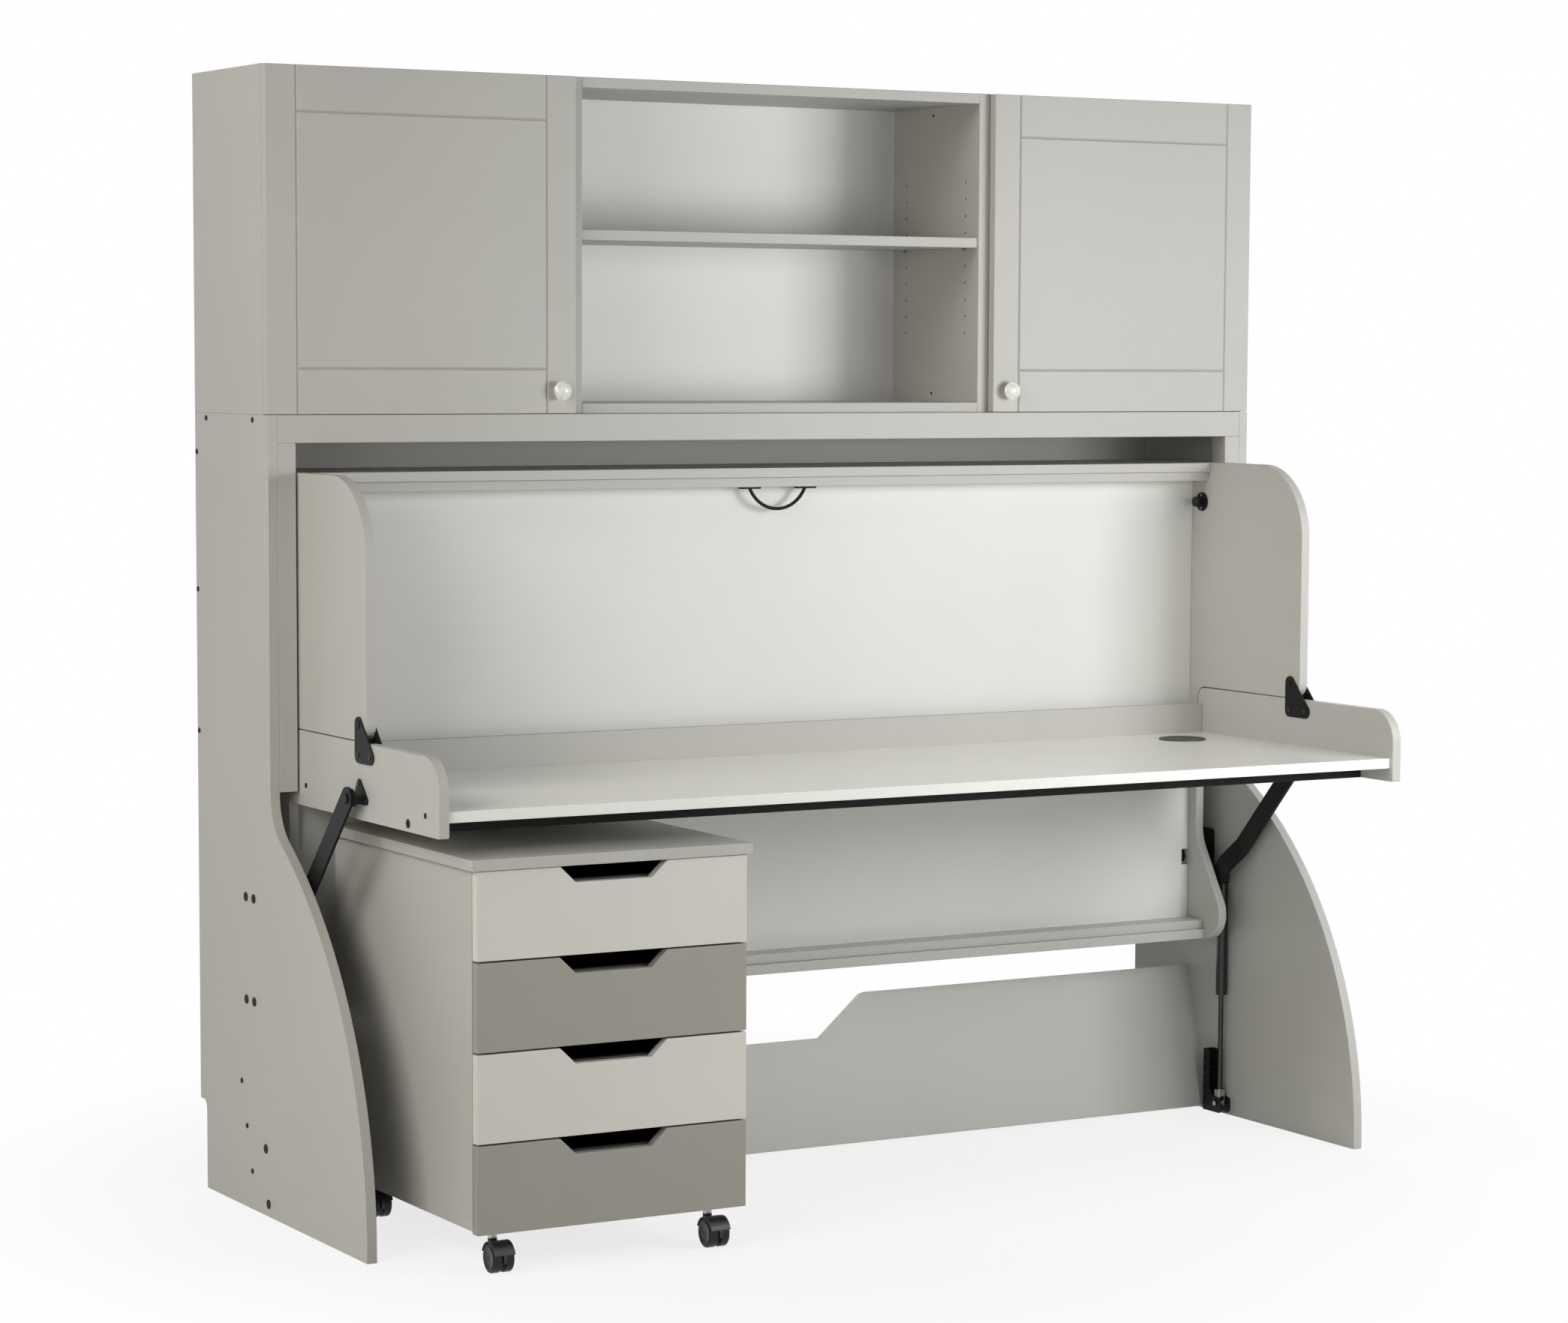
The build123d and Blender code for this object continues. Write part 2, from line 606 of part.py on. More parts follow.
def foot_cheek(back, x0, x1):
    """Rounded cheek that runs forward from the channel at that depth, between two x."""
    front = STRUT_FOOT_BACK + FOOT_CHEEK_REACH
    crest = strut_foot_low + FOOT_CHEEK_HEIGHT
    outline = rounded_face(
        [
            (back, strut_foot_low, 0),
            (front, strut_foot_low, FOOT_CHEEK_CORNER),
            (front, crest, FOOT_CHEEK_CORNER),
            (back + FOOT_CHEEK_SWEEP, crest, FOOT_CHEEK_CORNER),
            (back, crest + FOOT_CHEEK_SWEEP, 0),
        ]
    )
    return plate_x(outline, x0, x1)


inside_cheek = foot_cheek(inside_front, foot_face, cheek_face)
inside_cheek += rod_x(
    foot_face - CLEVIS_PIN_HEAD, foot_face, STRUT_DEPTH, STRUT_PIN_HEIGHT, CLEVIS_PIN_HEAD_RADIUS
)
panel_cheek = foot_cheek(panel_front, web_face, INNER)
save("strut_feet", *[one for piece in (channel, inside_cheek, panel_cheek) for one in pair(piece)])

# Hutch boards
hutch_side = slab((INNER, HALF), (0, HUTCH_DEPTH), (HUTCH_LOW, HUTCH_HIGH))
save("hutch_sides", *pair(hutch_side))
pin_low = HUTCH_LOW + PIN_FIRST_RISE
pin_depths = (PIN_INSET + THIN_BOARD, HUTCH_DEPTH - PIN_INSET)
pin_stop = CENTRE_IN + PIN_HOLE_DEPTH
divider = slab((CENTRE_IN, CENTRE_IN + BOARD), (0, HUTCH_DEPTH), (HUTCH_LOW, HUTCH_HIGH))
pin_drill = [
    rod_x(CENTRE_IN - OVERCUT, pin_stop, depth, pin_low + PIN_PITCH * row, PIN_RADIUS + RUN_PLAY)
    for depth in pin_depths
    for row in range(PIN_ROWS)
]
divider -= pin_drill
cabinet_side = slab((CENTRE_IN + BOARD, CABINET_IN), (0, HUTCH_DEPTH), (HUTCH_LOW, HUTCH_HIGH))
save("hutch_dividers", *pair(divider), *pair(cabinet_side))
decks = []
backs = []
for x in ((-INNER, -CABINET_IN), (-CENTRE_IN, CENTRE_IN), (CABINET_IN, INNER)):
    decks.append(slab(x, (0, HUTCH_DEPTH), (HUTCH_HIGH - BOARD, HUTCH_HIGH)))
    decks.append(slab(x, (0, HUTCH_DEPTH), (HUTCH_LOW, HUTCH_LOW + BOARD)))
    backs.append(slab(x, (0, THIN_BOARD), (HUTCH_LOW + BOARD, HUTCH_HIGH - BOARD), 0))
save("hutch_decks", *decks)
save("hutch_backs", *backs)
pin_height = pin_low + PIN_PITCH * SHELF_PIN_ROW
shelf_low = pin_height + PIN_RADIUS
shelf_z = (shelf_low, shelf_low + BOARD)
centre_shelf = slab((-CENTRE_IN, CENTRE_IN), (THIN_BOARD, HUTCH_DEPTH - SHELF_SETBACK), shelf_z)
cabinet_shelf = slab((CABINET_IN, INNER), (THIN_BOARD, HUTCH_DEPTH - CABINET_SHELF_SETBACK), shelf_z)
save("hutch_shelves", centre_shelf, *pair(cabinet_shelf))
pins = []
for depth in pin_depths:
    pins.append(rod_x(CENTRE_IN - PIN_REACH, pin_stop, depth, pin_height, PIN_RADIUS))
    pins.append(rod_x(CABINET_IN, CABINET_IN + PIN_REACH, depth, pin_height, PIN_RADIUS))
    pins.append(rod_x(INNER - PIN_REACH, INNER, depth, pin_height, PIN_RADIUS))
save("shelf_pins", *[one for pin in pins for one in pair(pin)])

# Doors with routed grooves, knobs and concealed hinges
door_low = HUTCH_LOW + DOOR_MARGIN
door_high = HUTCH_HIGH - DOOR_MARGIN
door = slab((DOOR_EDGE, HALF), (DOOR_BACK, DOOR_FRONT), (door_low, door_high))
groove_x = (DOOR_EDGE + GROOVE_INSET_X, HALF - GROOVE_INSET_X)
groove_z = (door_low + GROOVE_INSET_Z, door_high - GROOVE_INSET_Z)
door_height = door_high - door_low
for x in groove_x:
    groove = Pos(x, at(DOOR_FRONT), (door_low + door_high) / 2) * Rot(0, 0, 45)
    door -= groove * Box(GROOVE, GROOVE, door_height + 2 * OVERCUT)
for z in groove_z:
    groove = Pos((groove_x[0] + groove_x[1]) / 2, at(DOOR_FRONT), z) * Rot(45, 0, 0)
    door -= groove * Box(groove_x[1] - groove_x[0], GROOVE, GROOVE)
cups = []
mounts = []
hinge_x = HALF - CUP_INSET
hinge_arm_front = HUTCH_DEPTH - HINGE_ARM_SETBACK
for z in (door_low + CUP_HEIGHT_INSET, door_high - CUP_HEIGHT_INSET):
    door -= rod_y(hinge_x, DOOR_BACK - OVERCUT, DOOR_BACK + CUP_DEPTH, z, CUP_RADIUS)
    cup = rod_y(hinge_x, DOOR_BACK, DOOR_BACK + CUP_DEPTH, z, CUP_RADIUS)
    cup -= rod_y(hinge_x, DOOR_BACK - OVERCUT, DOOR_BACK + CUP_DEPTH - CUP_WALL, z, CUP_RADIUS - CUP_WALL)
    cups.append(cup)
    mount = slab(
        (hinge_x - HINGE_ARM_PAST, INNER),
        (hinge_arm_front - HINGE_ARM_LENGTH, hinge_arm_front),
        (z - HINGE_ARM_WIDTH / 2, z + HINGE_ARM_WIDTH / 2),
    )
    nose_radius = CUP_RADIUS - CUP_WALL - PLAY
    mount += rod_y(hinge_x, HUTCH_DEPTH - HINGE_NOSE_ROOT, DOOR_BACK + HINGE_NOSE, z, nose_radius)
    mounts.append(mount)
save("door_right", door)
save("door_left", other(door))
save("hinge_cups_right", *cups)
save("hinge_cups_left", *[other(cup) for cup in cups])
save("hinge_mounts", *[one for mount in mounts for one in pair(mount)])
crown_foot = KNOB_REACH - KNOB_CROWN
crown_radius = (KNOB_RADIUS**2 + KNOB_CROWN**2) / (2 * KNOB_CROWN)
crown_turn = atan2(KNOB_RADIUS, crown_radius - KNOB_CROWN) / 2
crown_middle = (crown_radius * sin(crown_turn), KNOB_REACH - crown_radius * (1 - cos(crown_turn)))
knob_face = make_face(
    [
        Line((0, 0), (KNOB_FOOT_RADIUS, 0)),
        Line((KNOB_FOOT_RADIUS, 0), (KNOB_NECK_RADIUS, KNOB_NECK)),
        ThreePointArc(
            (KNOB_NECK_RADIUS, KNOB_NECK), (KNOB_SHOULDER_RADIUS, KNOB_SHOULDER), (KNOB_RADIUS, crown_foot)
        ),
        ThreePointArc((KNOB_RADIUS, crown_foot), crown_middle, (0, KNOB_REACH)),
        Line((0, KNOB_REACH), (0, 0)),
    ]
)
knob_turned = revolve(Plane.XZ * knob_face, Axis.Z, 360)
knob = Pos(DOOR_EDGE + KNOB_INSET, at(DOOR_FRONT), door_low + KNOB_RISE) * Rot(90, 0, 0) * knob_turned
save("knob_right", knob)
save("knob_left", other(knob))

# Bed ends
lobe_corner = PIVOT_DEPTH + BED_LOBE_REACH
throat_height = PIVOT_HEIGHT + BED_THROAT_RISE
bed_face = rounded_face(
    [
        (BED_BACK, BED_BOTTOM, BED_TAIL_RADIUS),
        (lobe_corner, BED_BOTTOM, BED_LOBE_RADIUS),
        (BED_NECK_FRONT, throat_height, BED_THROAT_RADIUS),
        (BED_NECK_FRONT, BED_SEAM, DESK_HEEL_RADIUS + SEAM),
        (BED_FRONT, BED_SEAM, HINGE_INSET),
        (BED_FRONT, BED_TOP, BED_CROWN_RADIUS),
        (BED_BACK, BED_TOP, BED_HEAD_RADIUS),
    ]
)
bed_end = plate_x(bed_face, BED_IN, BED_X, EDGE)
bush_radius = PIVOT_STUD_RADIUS + RUN_PLAY + BUSH_WALL
bed_end_cut = (BED_IN - OVERCUT, BED_X + OVERCUT)
bed_end -= rod_x(*bed_end_cut, PIVOT_DEPTH, PIVOT_HEIGHT, bush_radius)
bed_end -= rod_x(*bed_end_cut, HINGE_DEPTH, HINGE_HEIGHT, HINGE_PIN_RADIUS + RUN_PLAY)
save("bed_end_left", other(bed_end))
neck_stop = BED_IN + LOCK_THROW
lock_hole = rod_x(*bed_end_cut, LOCK_DEPTH, lock_height, LOCK_RADIUS + RUN_PLAY)
lock_hole += rod_x(BED_IN - OVERCUT, neck_stop, LOCK_DEPTH, lock_height, LOCK_NECK_RADIUS + RUN_PLAY)
save("bed_end_right", bed_end - lock_hole)
bush = rod_x(BED_IN, BED_X, PIVOT_DEPTH, PIVOT_HEIGHT, bush_radius)
bush += rod_x(BED_X, bush_face, PIVOT_DEPTH, PIVOT_HEIGHT, bush_radius + BUSH_LIP)
bush -= rod_x(
    BED_IN - OVERCUT, bush_face + OVERCUT, PIVOT_DEPTH, PIVOT_HEIGHT, PIVOT_STUD_RADIUS + RUN_PLAY
)
save("pivot_bushes", *pair(bush))

# Bed base, rails and battens
base = slab((-BED_IN, BED_IN), (BASE_FRONT - BOARD, BASE_FRONT), (TAIL_IN, RAIL_IN))
relief = nut_radius + NUT_ROOM
relief_reach = BED_IN - nut_end + NUT_REACH_ROOM
for side in (-1, 1):
    base -= Pos(side * (BED_IN - relief_reach / 2), at(PIVOT_DEPTH), PIVOT_HEIGHT) * Box(
        relief_reach, 4 * BOARD, 2 * relief
    )
save("bed_base", base)
top_rail = slab((-BED_IN, BED_IN), (BED_BACK, RAIL_FRONT), (RAIL_IN, BED_TOP - RAIL_REVEAL))
tail_rail = slab((-BED_IN, BED_IN), (TAIL_RAIL_BACK, RAIL_FRONT), (BED_BOTTOM, TAIL_IN))
save("bed_rails", top_rail, tail_rail)
batten_depth = (BASE_FRONT, BATTEN_FRONT)
top_batten = slab((-BED_IN, BED_IN), batten_depth, (RAIL_IN - BATTEN_HEIGHT, RAIL_IN))
tail_batten = slab((-BED_IN, BED_IN), batten_depth, (TAIL_IN, TAIL_IN + BATTEN_HEIGHT))
save("bed_battens", top_batten, tail_batten)

# Pull handle under the middle of the top batten
handle_depth = (BASE_FRONT + BATTEN_FRONT) / 2
handle_top = RAIL_IN - BATTEN_HEIGHT
handle_root = handle_top - HANDLE_SINK
handle_path = ThreePointArc(
    (-HANDLE_SPAN / 2, at(handle_depth), handle_root),
    (0, at(handle_depth), handle_top - HANDLE_DROP),
    (HANDLE_SPAN / 2, at(handle_depth), handle_root),
)
handle_start = Plane(origin=handle_path @ 0, z_dir=handle_path % 0)
handle = sweep(handle_start * Circle(HANDLE_RADIUS), path=handle_path)
for x in (-HANDLE_SPAN / 2, HANDLE_SPAN / 2):
    handle += slab(
        (x - HANDLE_FOOT / 2, x + HANDLE_FOOT / 2),
        (handle_depth - HANDLE_FOOT_WIDTH / 2, handle_depth + HANDLE_FOOT_WIDTH / 2),
        (handle_top - HANDLE_FOOT_THICKNESS, handle_top),
        HANDLE_FOOT_EDGE,
    )
save("pull_handle", handle & slab((-WIDTH, WIDTH), (0, FOOT_DEPTH), (0, handle_top), 0))

# Lock on the right bed end, drawn back: its neck slides through the flange as the bolt is thrown
flange_face = BED_IN - LOCK_FLANGE
flange = rod_x(flange_face, BED_IN, LOCK_DEPTH, lock_height, LOCK_FLANGE_RADIUS)
flange -= rod_x(
    flange_face - OVERCUT, BED_IN + OVERCUT, LOCK_DEPTH, lock_height, LOCK_NECK_RADIUS + RUN_PLAY
)
save("lock_flange", flange)
knob_end = flange_face - LOCK_THROW - PLAY
bolt = rod_x(knob_end, BED_X + LOCK_TIP, LOCK_DEPTH, lock_height, LOCK_RADIUS)
bolt += rod_x(knob_end, BED_IN - PLAY, LOCK_DEPTH, lock_height, LOCK_NECK_RADIUS)
pull = rod_x(knob_end - LOCK_KNOB, knob_end, LOCK_DEPTH, lock_height, LOCK_KNOB_RADIUS)
bolt += fillet(pull.edges(), LOCK_KNOB_EDGE)
save("lock_bolt", bolt)

# Desk
desk_face = rounded_face(
    [
        (DESK_BACK, DESK_FOOT, DESK_FOOT_RADIUS),
        (DESK_FRONT, DESK_FOOT, DESK_FOOT_RADIUS),
        (DESK_FRONT, DESK_CREST, DESK_NOSE_RADIUS),
        (DESK_BACK, DESK_CREST, DESK_HEEL_RADIUS),
    ]
)
desk_side = plate_x(desk_face, DESK_IN, DESK_X, EDGE)
save("desk_side_right", desk_side)
left_side = other(desk_side)
left_holes = (
    (DESK_BACK + BACK_HOLE_INSET, DESK_FOOT + BACK_HOLE_RISE, SMALL_HOLE_RADIUS),
    (DESK_FRONT - LARGE_HOLE_INSET, DESK_FOOT + LARGE_HOLE_RISE, LARGE_HOLE_RADIUS),
    (DESK_FRONT - FRONT_HOLE_INSET, DESK_FOOT + FRONT_HOLE_RISE, SMALL_HOLE_RADIUS),
)
for depth, z, radius in left_holes:
    left_side -= rod_x(-DESK_X - OVERCUT, -DESK_X + DESK_HOLE_DEPTH, depth, z, radius)
save("desk_side_left", left_side)
upstand_front = DESK_BACK + UPSTAND
grommet_x = DESK_IN - GROMMET_INSET
grommet_depth = upstand_front + GROMMET_SETBACK
grommet_cut = (DESK_TOP_LOW - OVERCUT, DESK_TOP_HIGH + OVERCUT)
desk_top = slab((-DESK_IN, DESK_IN), (upstand_front, DESK_TOP_FRONT), (DESK_TOP_LOW, DESK_TOP_HIGH))
desk_top -= rod_z(grommet_x, grommet_depth, *grommet_cut, GROMMET_HOLE_RADIUS)
save("desk_top", desk_top)
upstand_z = (DESK_TOP_LOW, DESK_TOP_LOW + UPSTAND_HEIGHT)
save("desk_upstand", slab((-DESK_IN, DESK_IN), (DESK_BACK, upstand_front), upstand_z))
steel_depth = (STEEL_RAIL_FRONT - STEEL_RAIL, STEEL_RAIL_FRONT)
steel = slab((-DESK_IN, DESK_IN), steel_depth, (DESK_TOP_LOW - STEEL_RAIL, DESK_TOP_LOW))
steel -= slab(
    (-DESK_IN - OVERCUT, DESK_IN + OVERCUT),
    (steel_depth[0] + STEEL_WALL, steel_depth[1] - STEEL_WALL),
    (DESK_TOP_LOW - STEEL_RAIL + STEEL_WALL, DESK_TOP_LOW - STEEL_WALL),
    0,
)
save("desk_rail", steel)
sleeve_low = DESK_TOP_LOW - GROMMET_TAIL
rim_high = DESK_TOP_HIGH + GROMMET_RIM
grommet = rod_z(grommet_x, grommet_depth, sleeve_low, DESK_TOP_HIGH, GROMMET_HOLE_RADIUS)
rim = rod_z(grommet_x, grommet_depth, DESK_TOP_HIGH, rim_high, GROMMET_HOLE_RADIUS + GROMMET_FLANGE)
grommet += fillet(rim.edges().sort_by(Axis.Z)[-1], GROMMET_RIM_EDGE)
sleeve_cut = (sleeve_low - OVERCUT, rim_high + OVERCUT)
grommet -= rod_z(grommet_x, grommet_depth, *sleeve_cut, GROMMET_HOLE_RADIUS - GROMMET_WALL)
save("desk_grommet", grommet)


def rounded_plate(points, rounding, x0, x1):
    """Plate between two x over (depth, height) points, grown by a rounding all round."""
    corners = make_face(Polyline(*[(at(depth), z) for depth, z in points], close=True))
    return plate_x(offset(corners, rounding), x0, x1)


# Hinge plates on both faces of each desk side, with the pin that carries the bed end
plate_low = DESK_CREST - HINGE_PLATE_DROP
plate_points = [
    (HINGE_DEPTH, HINGE_HEIGHT),
    (HINGE_DEPTH, plate_low),
    (HINGE_DEPTH + HINGE_PLATE_REACH, plate_low),
]
plate_out = DESK_X + HINGE_PLATE
plate_in = DESK_IN - HINGE_PLATE
pin_tail = plate_in - HINGE_PIN_TAIL
head_face = plate_out + HINGE_PIN_HEAD
hinge_pin = rod_x(pin_tail, head_face, HINGE_DEPTH, HINGE_HEIGHT, HINGE_PIN_RADIUS)
hinge_pin += rod_x(plate_out, head_face, HINGE_DEPTH, HINGE_HEIGHT, HINGE_PIN_RADIUS + HINGE_PIN_LIP)
plate_drill = rod_x(pin_tail, head_face, HINGE_DEPTH, HINGE_HEIGHT, HINGE_PIN_RADIUS)
hinge_set = [
    rounded_plate(plate_points, HINGE_PLATE_ROUND, DESK_X, plate_out) - plate_drill,
    rounded_plate(plate_points, HINGE_PLATE_ROUND, plate_in, DESK_IN) - plate_drill,
    hinge_pin,
]
save("desk_hinge_plates", *[one for piece in hinge_set for one in pair(piece)])

# Brackets on the desk sides: a plate, a wall at its front and an ear that carries the link arm
bracket_low = TIP_HEIGHT - BRACKET_DROP
bracket_points = [
    (HINGE_DEPTH + BRACKET_APEX, TIP_HEIGHT + BRACKET_RISE),
    (HINGE_DEPTH + BRACKET_FRONT, bracket_low),
    (HINGE_DEPTH - BRACKET_BACK, bracket_low),
]
arm_bracket = rounded_plate(bracket_points, BRACKET_ROUND, DESK_X, DESK_X + HINGE_PLATE)
ear_out = ARM_HIGH - PLAY
ear_front = HINGE_DEPTH + EAR_FRONT
ear_low = TIP_HEIGHT - EAR_DROP
ear_face = rounded_face(
    [
        (HINGE_DEPTH - EAR_BACK, ear_low, EAR_CORNER),
        (ear_front, ear_low, EAR_CORNER),
        (ear_front, TIP_HEIGHT + EAR_SHOULDER, EAR_CORNER),
        (HINGE_DEPTH + EAR_CREST_FRONT, TIP_HEIGHT + EAR_RISE, EAR_CORNER),
        (HINGE_DEPTH - EAR_BACK, TIP_HEIGHT + EAR_RISE, EAR_CORNER),
    ]
)
arm_bracket += plate_x(ear_face, ear_out - HINGE_PLATE, ear_out)
ear_wall_z = (ear_low + EAR_CORNER, TIP_HEIGHT + EAR_SHOULDER - EAR_CORNER)
arm_bracket += slab((DESK_X, ear_out), (ear_front - HINGE_PLATE, ear_front), ear_wall_z, 0)
arm_pin_end = ARM_HIGH + ARM_THICKNESS + PLAY
arm_pin_head = arm_pin_end + ARM_PIN_HEAD
arm_bracket += rod_x(ear_out, arm_pin_end, HINGE_DEPTH, TIP_HEIGHT, HINGE_PIN_RADIUS)
arm_bracket += rod_x(arm_pin_end, arm_pin_head, HINGE_DEPTH, TIP_HEIGHT, HINGE_PIN_RADIUS + ARM_PIN_LIP)
save("arm_brackets", *pair(arm_bracket))

# Link arms: flat bar joggled outward past the strut, with the strut's stud
arm_plane = Plane(
    origin=(0, at(PIVOT_DEPTH), LINK_HEIGHT),
    x_dir=(0, -cos(ARM_ANGLE), sin(ARM_ANGLE)),
    z_dir=(1, 0, 0),
)
arm_end = ARM_WIDTH / 2
arm_bend = make_face(
    Polyline(
        (-arm_end, ARM_LOW),
        (ARM_JOGGLE_START, ARM_LOW),
        (ARM_JOGGLE_END, ARM_HIGH),
        (ARM_LENGTH + arm_end, ARM_HIGH),
        (ARM_LENGTH + arm_end, ARM_HIGH + ARM_THICKNESS),
        (ARM_JOGGLE_END - ARM_JOGGLE_LAG, ARM_HIGH + ARM_THICKNESS),
        (ARM_JOGGLE_START - ARM_JOGGLE_LAG, ARM_LOW + ARM_THICKNESS),
        (-arm_end, ARM_LOW + ARM_THICKNESS),
        close=True,
    )
)
arm = extrude(Plane.XZ * arm_bend, ARM_WIDTH, both=True)
arm_outline = Pos(ARM_LENGTH / 2, 0, 0) * SlotCenterToCenter(ARM_LENGTH, ARM_WIDTH)
arm_cut = (ARM_LOW - OVERCUT, ARM_HIGH + ARM_THICKNESS + OVERCUT)
arm = arm & extrude(Plane.XY.offset(arm_cut[0]) * arm_outline, arm_cut[1] - arm_cut[0])
arm = arm_plane.location * arm
arm -= rod_x(*arm_cut, PIVOT_DEPTH, LINK_HEIGHT, LINK_STUD_RADIUS + RUN_PLAY)
arm -= rod_x(*arm_cut, HINGE_DEPTH, TIP_HEIGHT, HINGE_PIN_RADIUS + RUN_PLAY)
arm += rod_x(arm_face, STRUT_X + STRUT_STUD_PAST, STRUT_DEPTH, STRUT_TOP, STRUT_PIN_RADIUS)
save("link_arm_right", arm)
save("link_arm_left", other(arm))

# Gas struts: cylinder with a top eye, and a rod with a piston and a clevis
eye_radius = STRUT_PIN_RADIUS + STRUT_EYE_WALL
eye_x = (STRUT_X - STRUT_EYE_HALF, STRUT_X + STRUT_EYE_HALF)
eye_cut = (eye_x[0] - OVERCUT, eye_x[1] + OVERCUT)
body_top = STRUT_TOP - eye_radius + STRUT_EYE_SINK
body_low = body_top - STRUT_BODY
chamber_low = body_low + STRUT_GLAND
chamber_radius = STRUT_RADIUS - STRUT_TUBE_WALL
cylinder = rod_z(STRUT_X, STRUT_DEPTH, body_low, body_top, STRUT_RADIUS)
cylinder = fillet(cylinder.edges().filter_by(GeomType.CIRCLE), STRUT_EDGE)
cylinder += rod_x(*eye_x, STRUT_DEPTH, STRUT_TOP, eye_radius)
cylinder -= rod_x(*eye_cut, STRUT_DEPTH, STRUT_TOP, STRUT_PIN_RADIUS + RUN_PLAY)
cylinder -= rod_z(STRUT_X, STRUT_DEPTH, chamber_low, body_top - STRUT_END_WALL, chamber_radius)
gland_cut = (body_low - OVERCUT, chamber_low + OVERCUT)
cylinder -= rod_z(STRUT_X, STRUT_DEPTH, *gland_cut, STRUT_ROD_RADIUS + RUN_PLAY)
save("strut_cylinder_right", cylinder)
save("strut_cylinder_left", other(cylinder))
piston_low = chamber_low + PISTON_GAP
piston_high = piston_low + PISTON_LENGTH
strut_rod = rod_z(STRUT_X, STRUT_DEPTH, STRUT_ROD_FOOT, piston_high, STRUT_ROD_RADIUS)
strut_rod += rod_z(STRUT_X, STRUT_DEPTH, piston_low, piston_high, chamber_radius - RUN_PLAY)
clevis_x = (STRUT_X - clevis_half, STRUT_X + clevis_half)
clevis_depth = (STRUT_DEPTH - clevis_half, STRUT_DEPTH + clevis_half)
clevis_low = STRUT_PIN_HEIGHT - clevis_half
clevis = slab(clevis_x, clevis_depth, (clevis_low, STRUT_ROD_FOOT), CLEVIS_EDGE)
clevis -= slab(
    (clevis_x[0] + CLEVIS_CHEEK, clevis_x[1] - CLEVIS_CHEEK),
    (clevis_depth[0] - OVERCUT, clevis_depth[1] + OVERCUT),
    (clevis_low - OVERCUT, STRUT_PIN_HEIGHT + CLEVIS_SLOT),
    0,
)
clevis += rod_x(*clevis_x, STRUT_DEPTH, STRUT_PIN_HEIGHT, CLEVIS_PIN_RADIUS)
save("strut_rod_right", strut_rod + clevis)
save("strut_rod_left", other(strut_rod + clevis))

# Pedestal case
lip_left = PEDESTAL_X - PEDESTAL_WIDTH / 2
lip_right = PEDESTAL_X + PEDESTAL_WIDTH / 2
pedestal_back = PEDESTAL_FRONT - PEDESTAL_DEPTH
case_left = lip_left + PEDESTAL_LIP
case_right = lip_right - PEDESTAL_LIP
case_back = pedestal_back + PEDESTAL_LIP
front_face = PEDESTAL_FRONT - PEDESTAL_LIP / 2
case_front = front_face - BOARD - FRONT_REVEAL
case_top = PEDESTAL_HEIGHT - BOARD
top_depth = (pedestal_back, PEDESTAL_FRONT)
save("pedestal_top", slab((lip_left, lip_right), top_depth, (case_top, PEDESTAL_HEIGHT)))
case_floor = CASTER_HEIGHT + BOARD
case_x = (case_left + BOARD, case_right - BOARD)
case_depth = (case_back, case_front)
case_panels = [
    slab((case_left, case_x[0]), case_depth, (case_floor, case_top)),
    slab((case_x[1], case_right), case_depth, (case_floor, case_top)),
    slab((case_left, case_right), case_depth, (CASTER_HEIGHT, case_floor)),
    slab(case_x, (case_back, case_back + THIN_BOARD), (case_floor, case_top), 0),
]
save("pedestal_case", *case_panels)

# Drawers on side runners, each with a trapezoid finger grip in its front
front_low = CASTER_HEIGHT - FRONT_OVERHANG
front_high = case_top - FRONT_REVEAL
front_pitch = (front_high - front_low + DRAWER_GAP) / DRAWER_COUNT
front_height = front_pitch - DRAWER_GAP
box_left = case_x[0] + RUNNER + PLAY
box_right = case_x[1] - RUNNER - PLAY
box_back = case_back + THIN_BOARD + DRAWER_BACK_ROOM
front_back = front_face - BOARD
runner_depth = (case_back + RUNNER_BACK, case_front - RUNNER_FRONT)
runners = []
for number in range(DRAWER_COUNT):
    high = front_high - front_pitch * number
    low = high - front_height
    front = slab((case_left, case_right), (front_back, front_face), (low, high))
    grip = make_face(
        Polyline(
            (PEDESTAL_X - GRIP_WIDTH / 2, high + OVERCUT),
            (PEDESTAL_X - GRIP_FOOT_WIDTH / 2, high - GRIP_DEPTH),
            (PEDESTAL_X + GRIP_FOOT_WIDTH / 2, high - GRIP_DEPTH),
            (PEDESTAL_X + GRIP_WIDTH / 2, high + OVERCUT),
            close=True,
        )
    )
    front -= extrude(Plane.XZ.offset(-at(front_face + OVERCUT)) * grip, -BOARD - 2 * OVERCUT)
    box_low = low + DRAWER_BOX_RISE + PLAY
    box_high = box_low + DRAWER_BOX_HEIGHT
    tray = slab((box_left, box_right), (box_back, front_back), (box_low, box_high), 0)
    tray -= slab(
        (box_left + DRAWER_WALL, box_right - DRAWER_WALL),
        (box_back + DRAWER_WALL, front_back - DRAWER_WALL),
        (box_low + DRAWER_WALL, box_high + OVERCUT),
        0,
    )
    save(f"drawer_{number + 1}", front, tray)
    runner_z = (box_low + RUNNER_RISE, box_low + RUNNER_RISE + RUNNER_HEIGHT)
    for x in (case_x[0], case_x[1] - RUNNER):
        runners.append(slab((x, x + RUNNER), runner_depth, runner_z, RUNNER_EDGE))
save("drawer_runners", *runners)

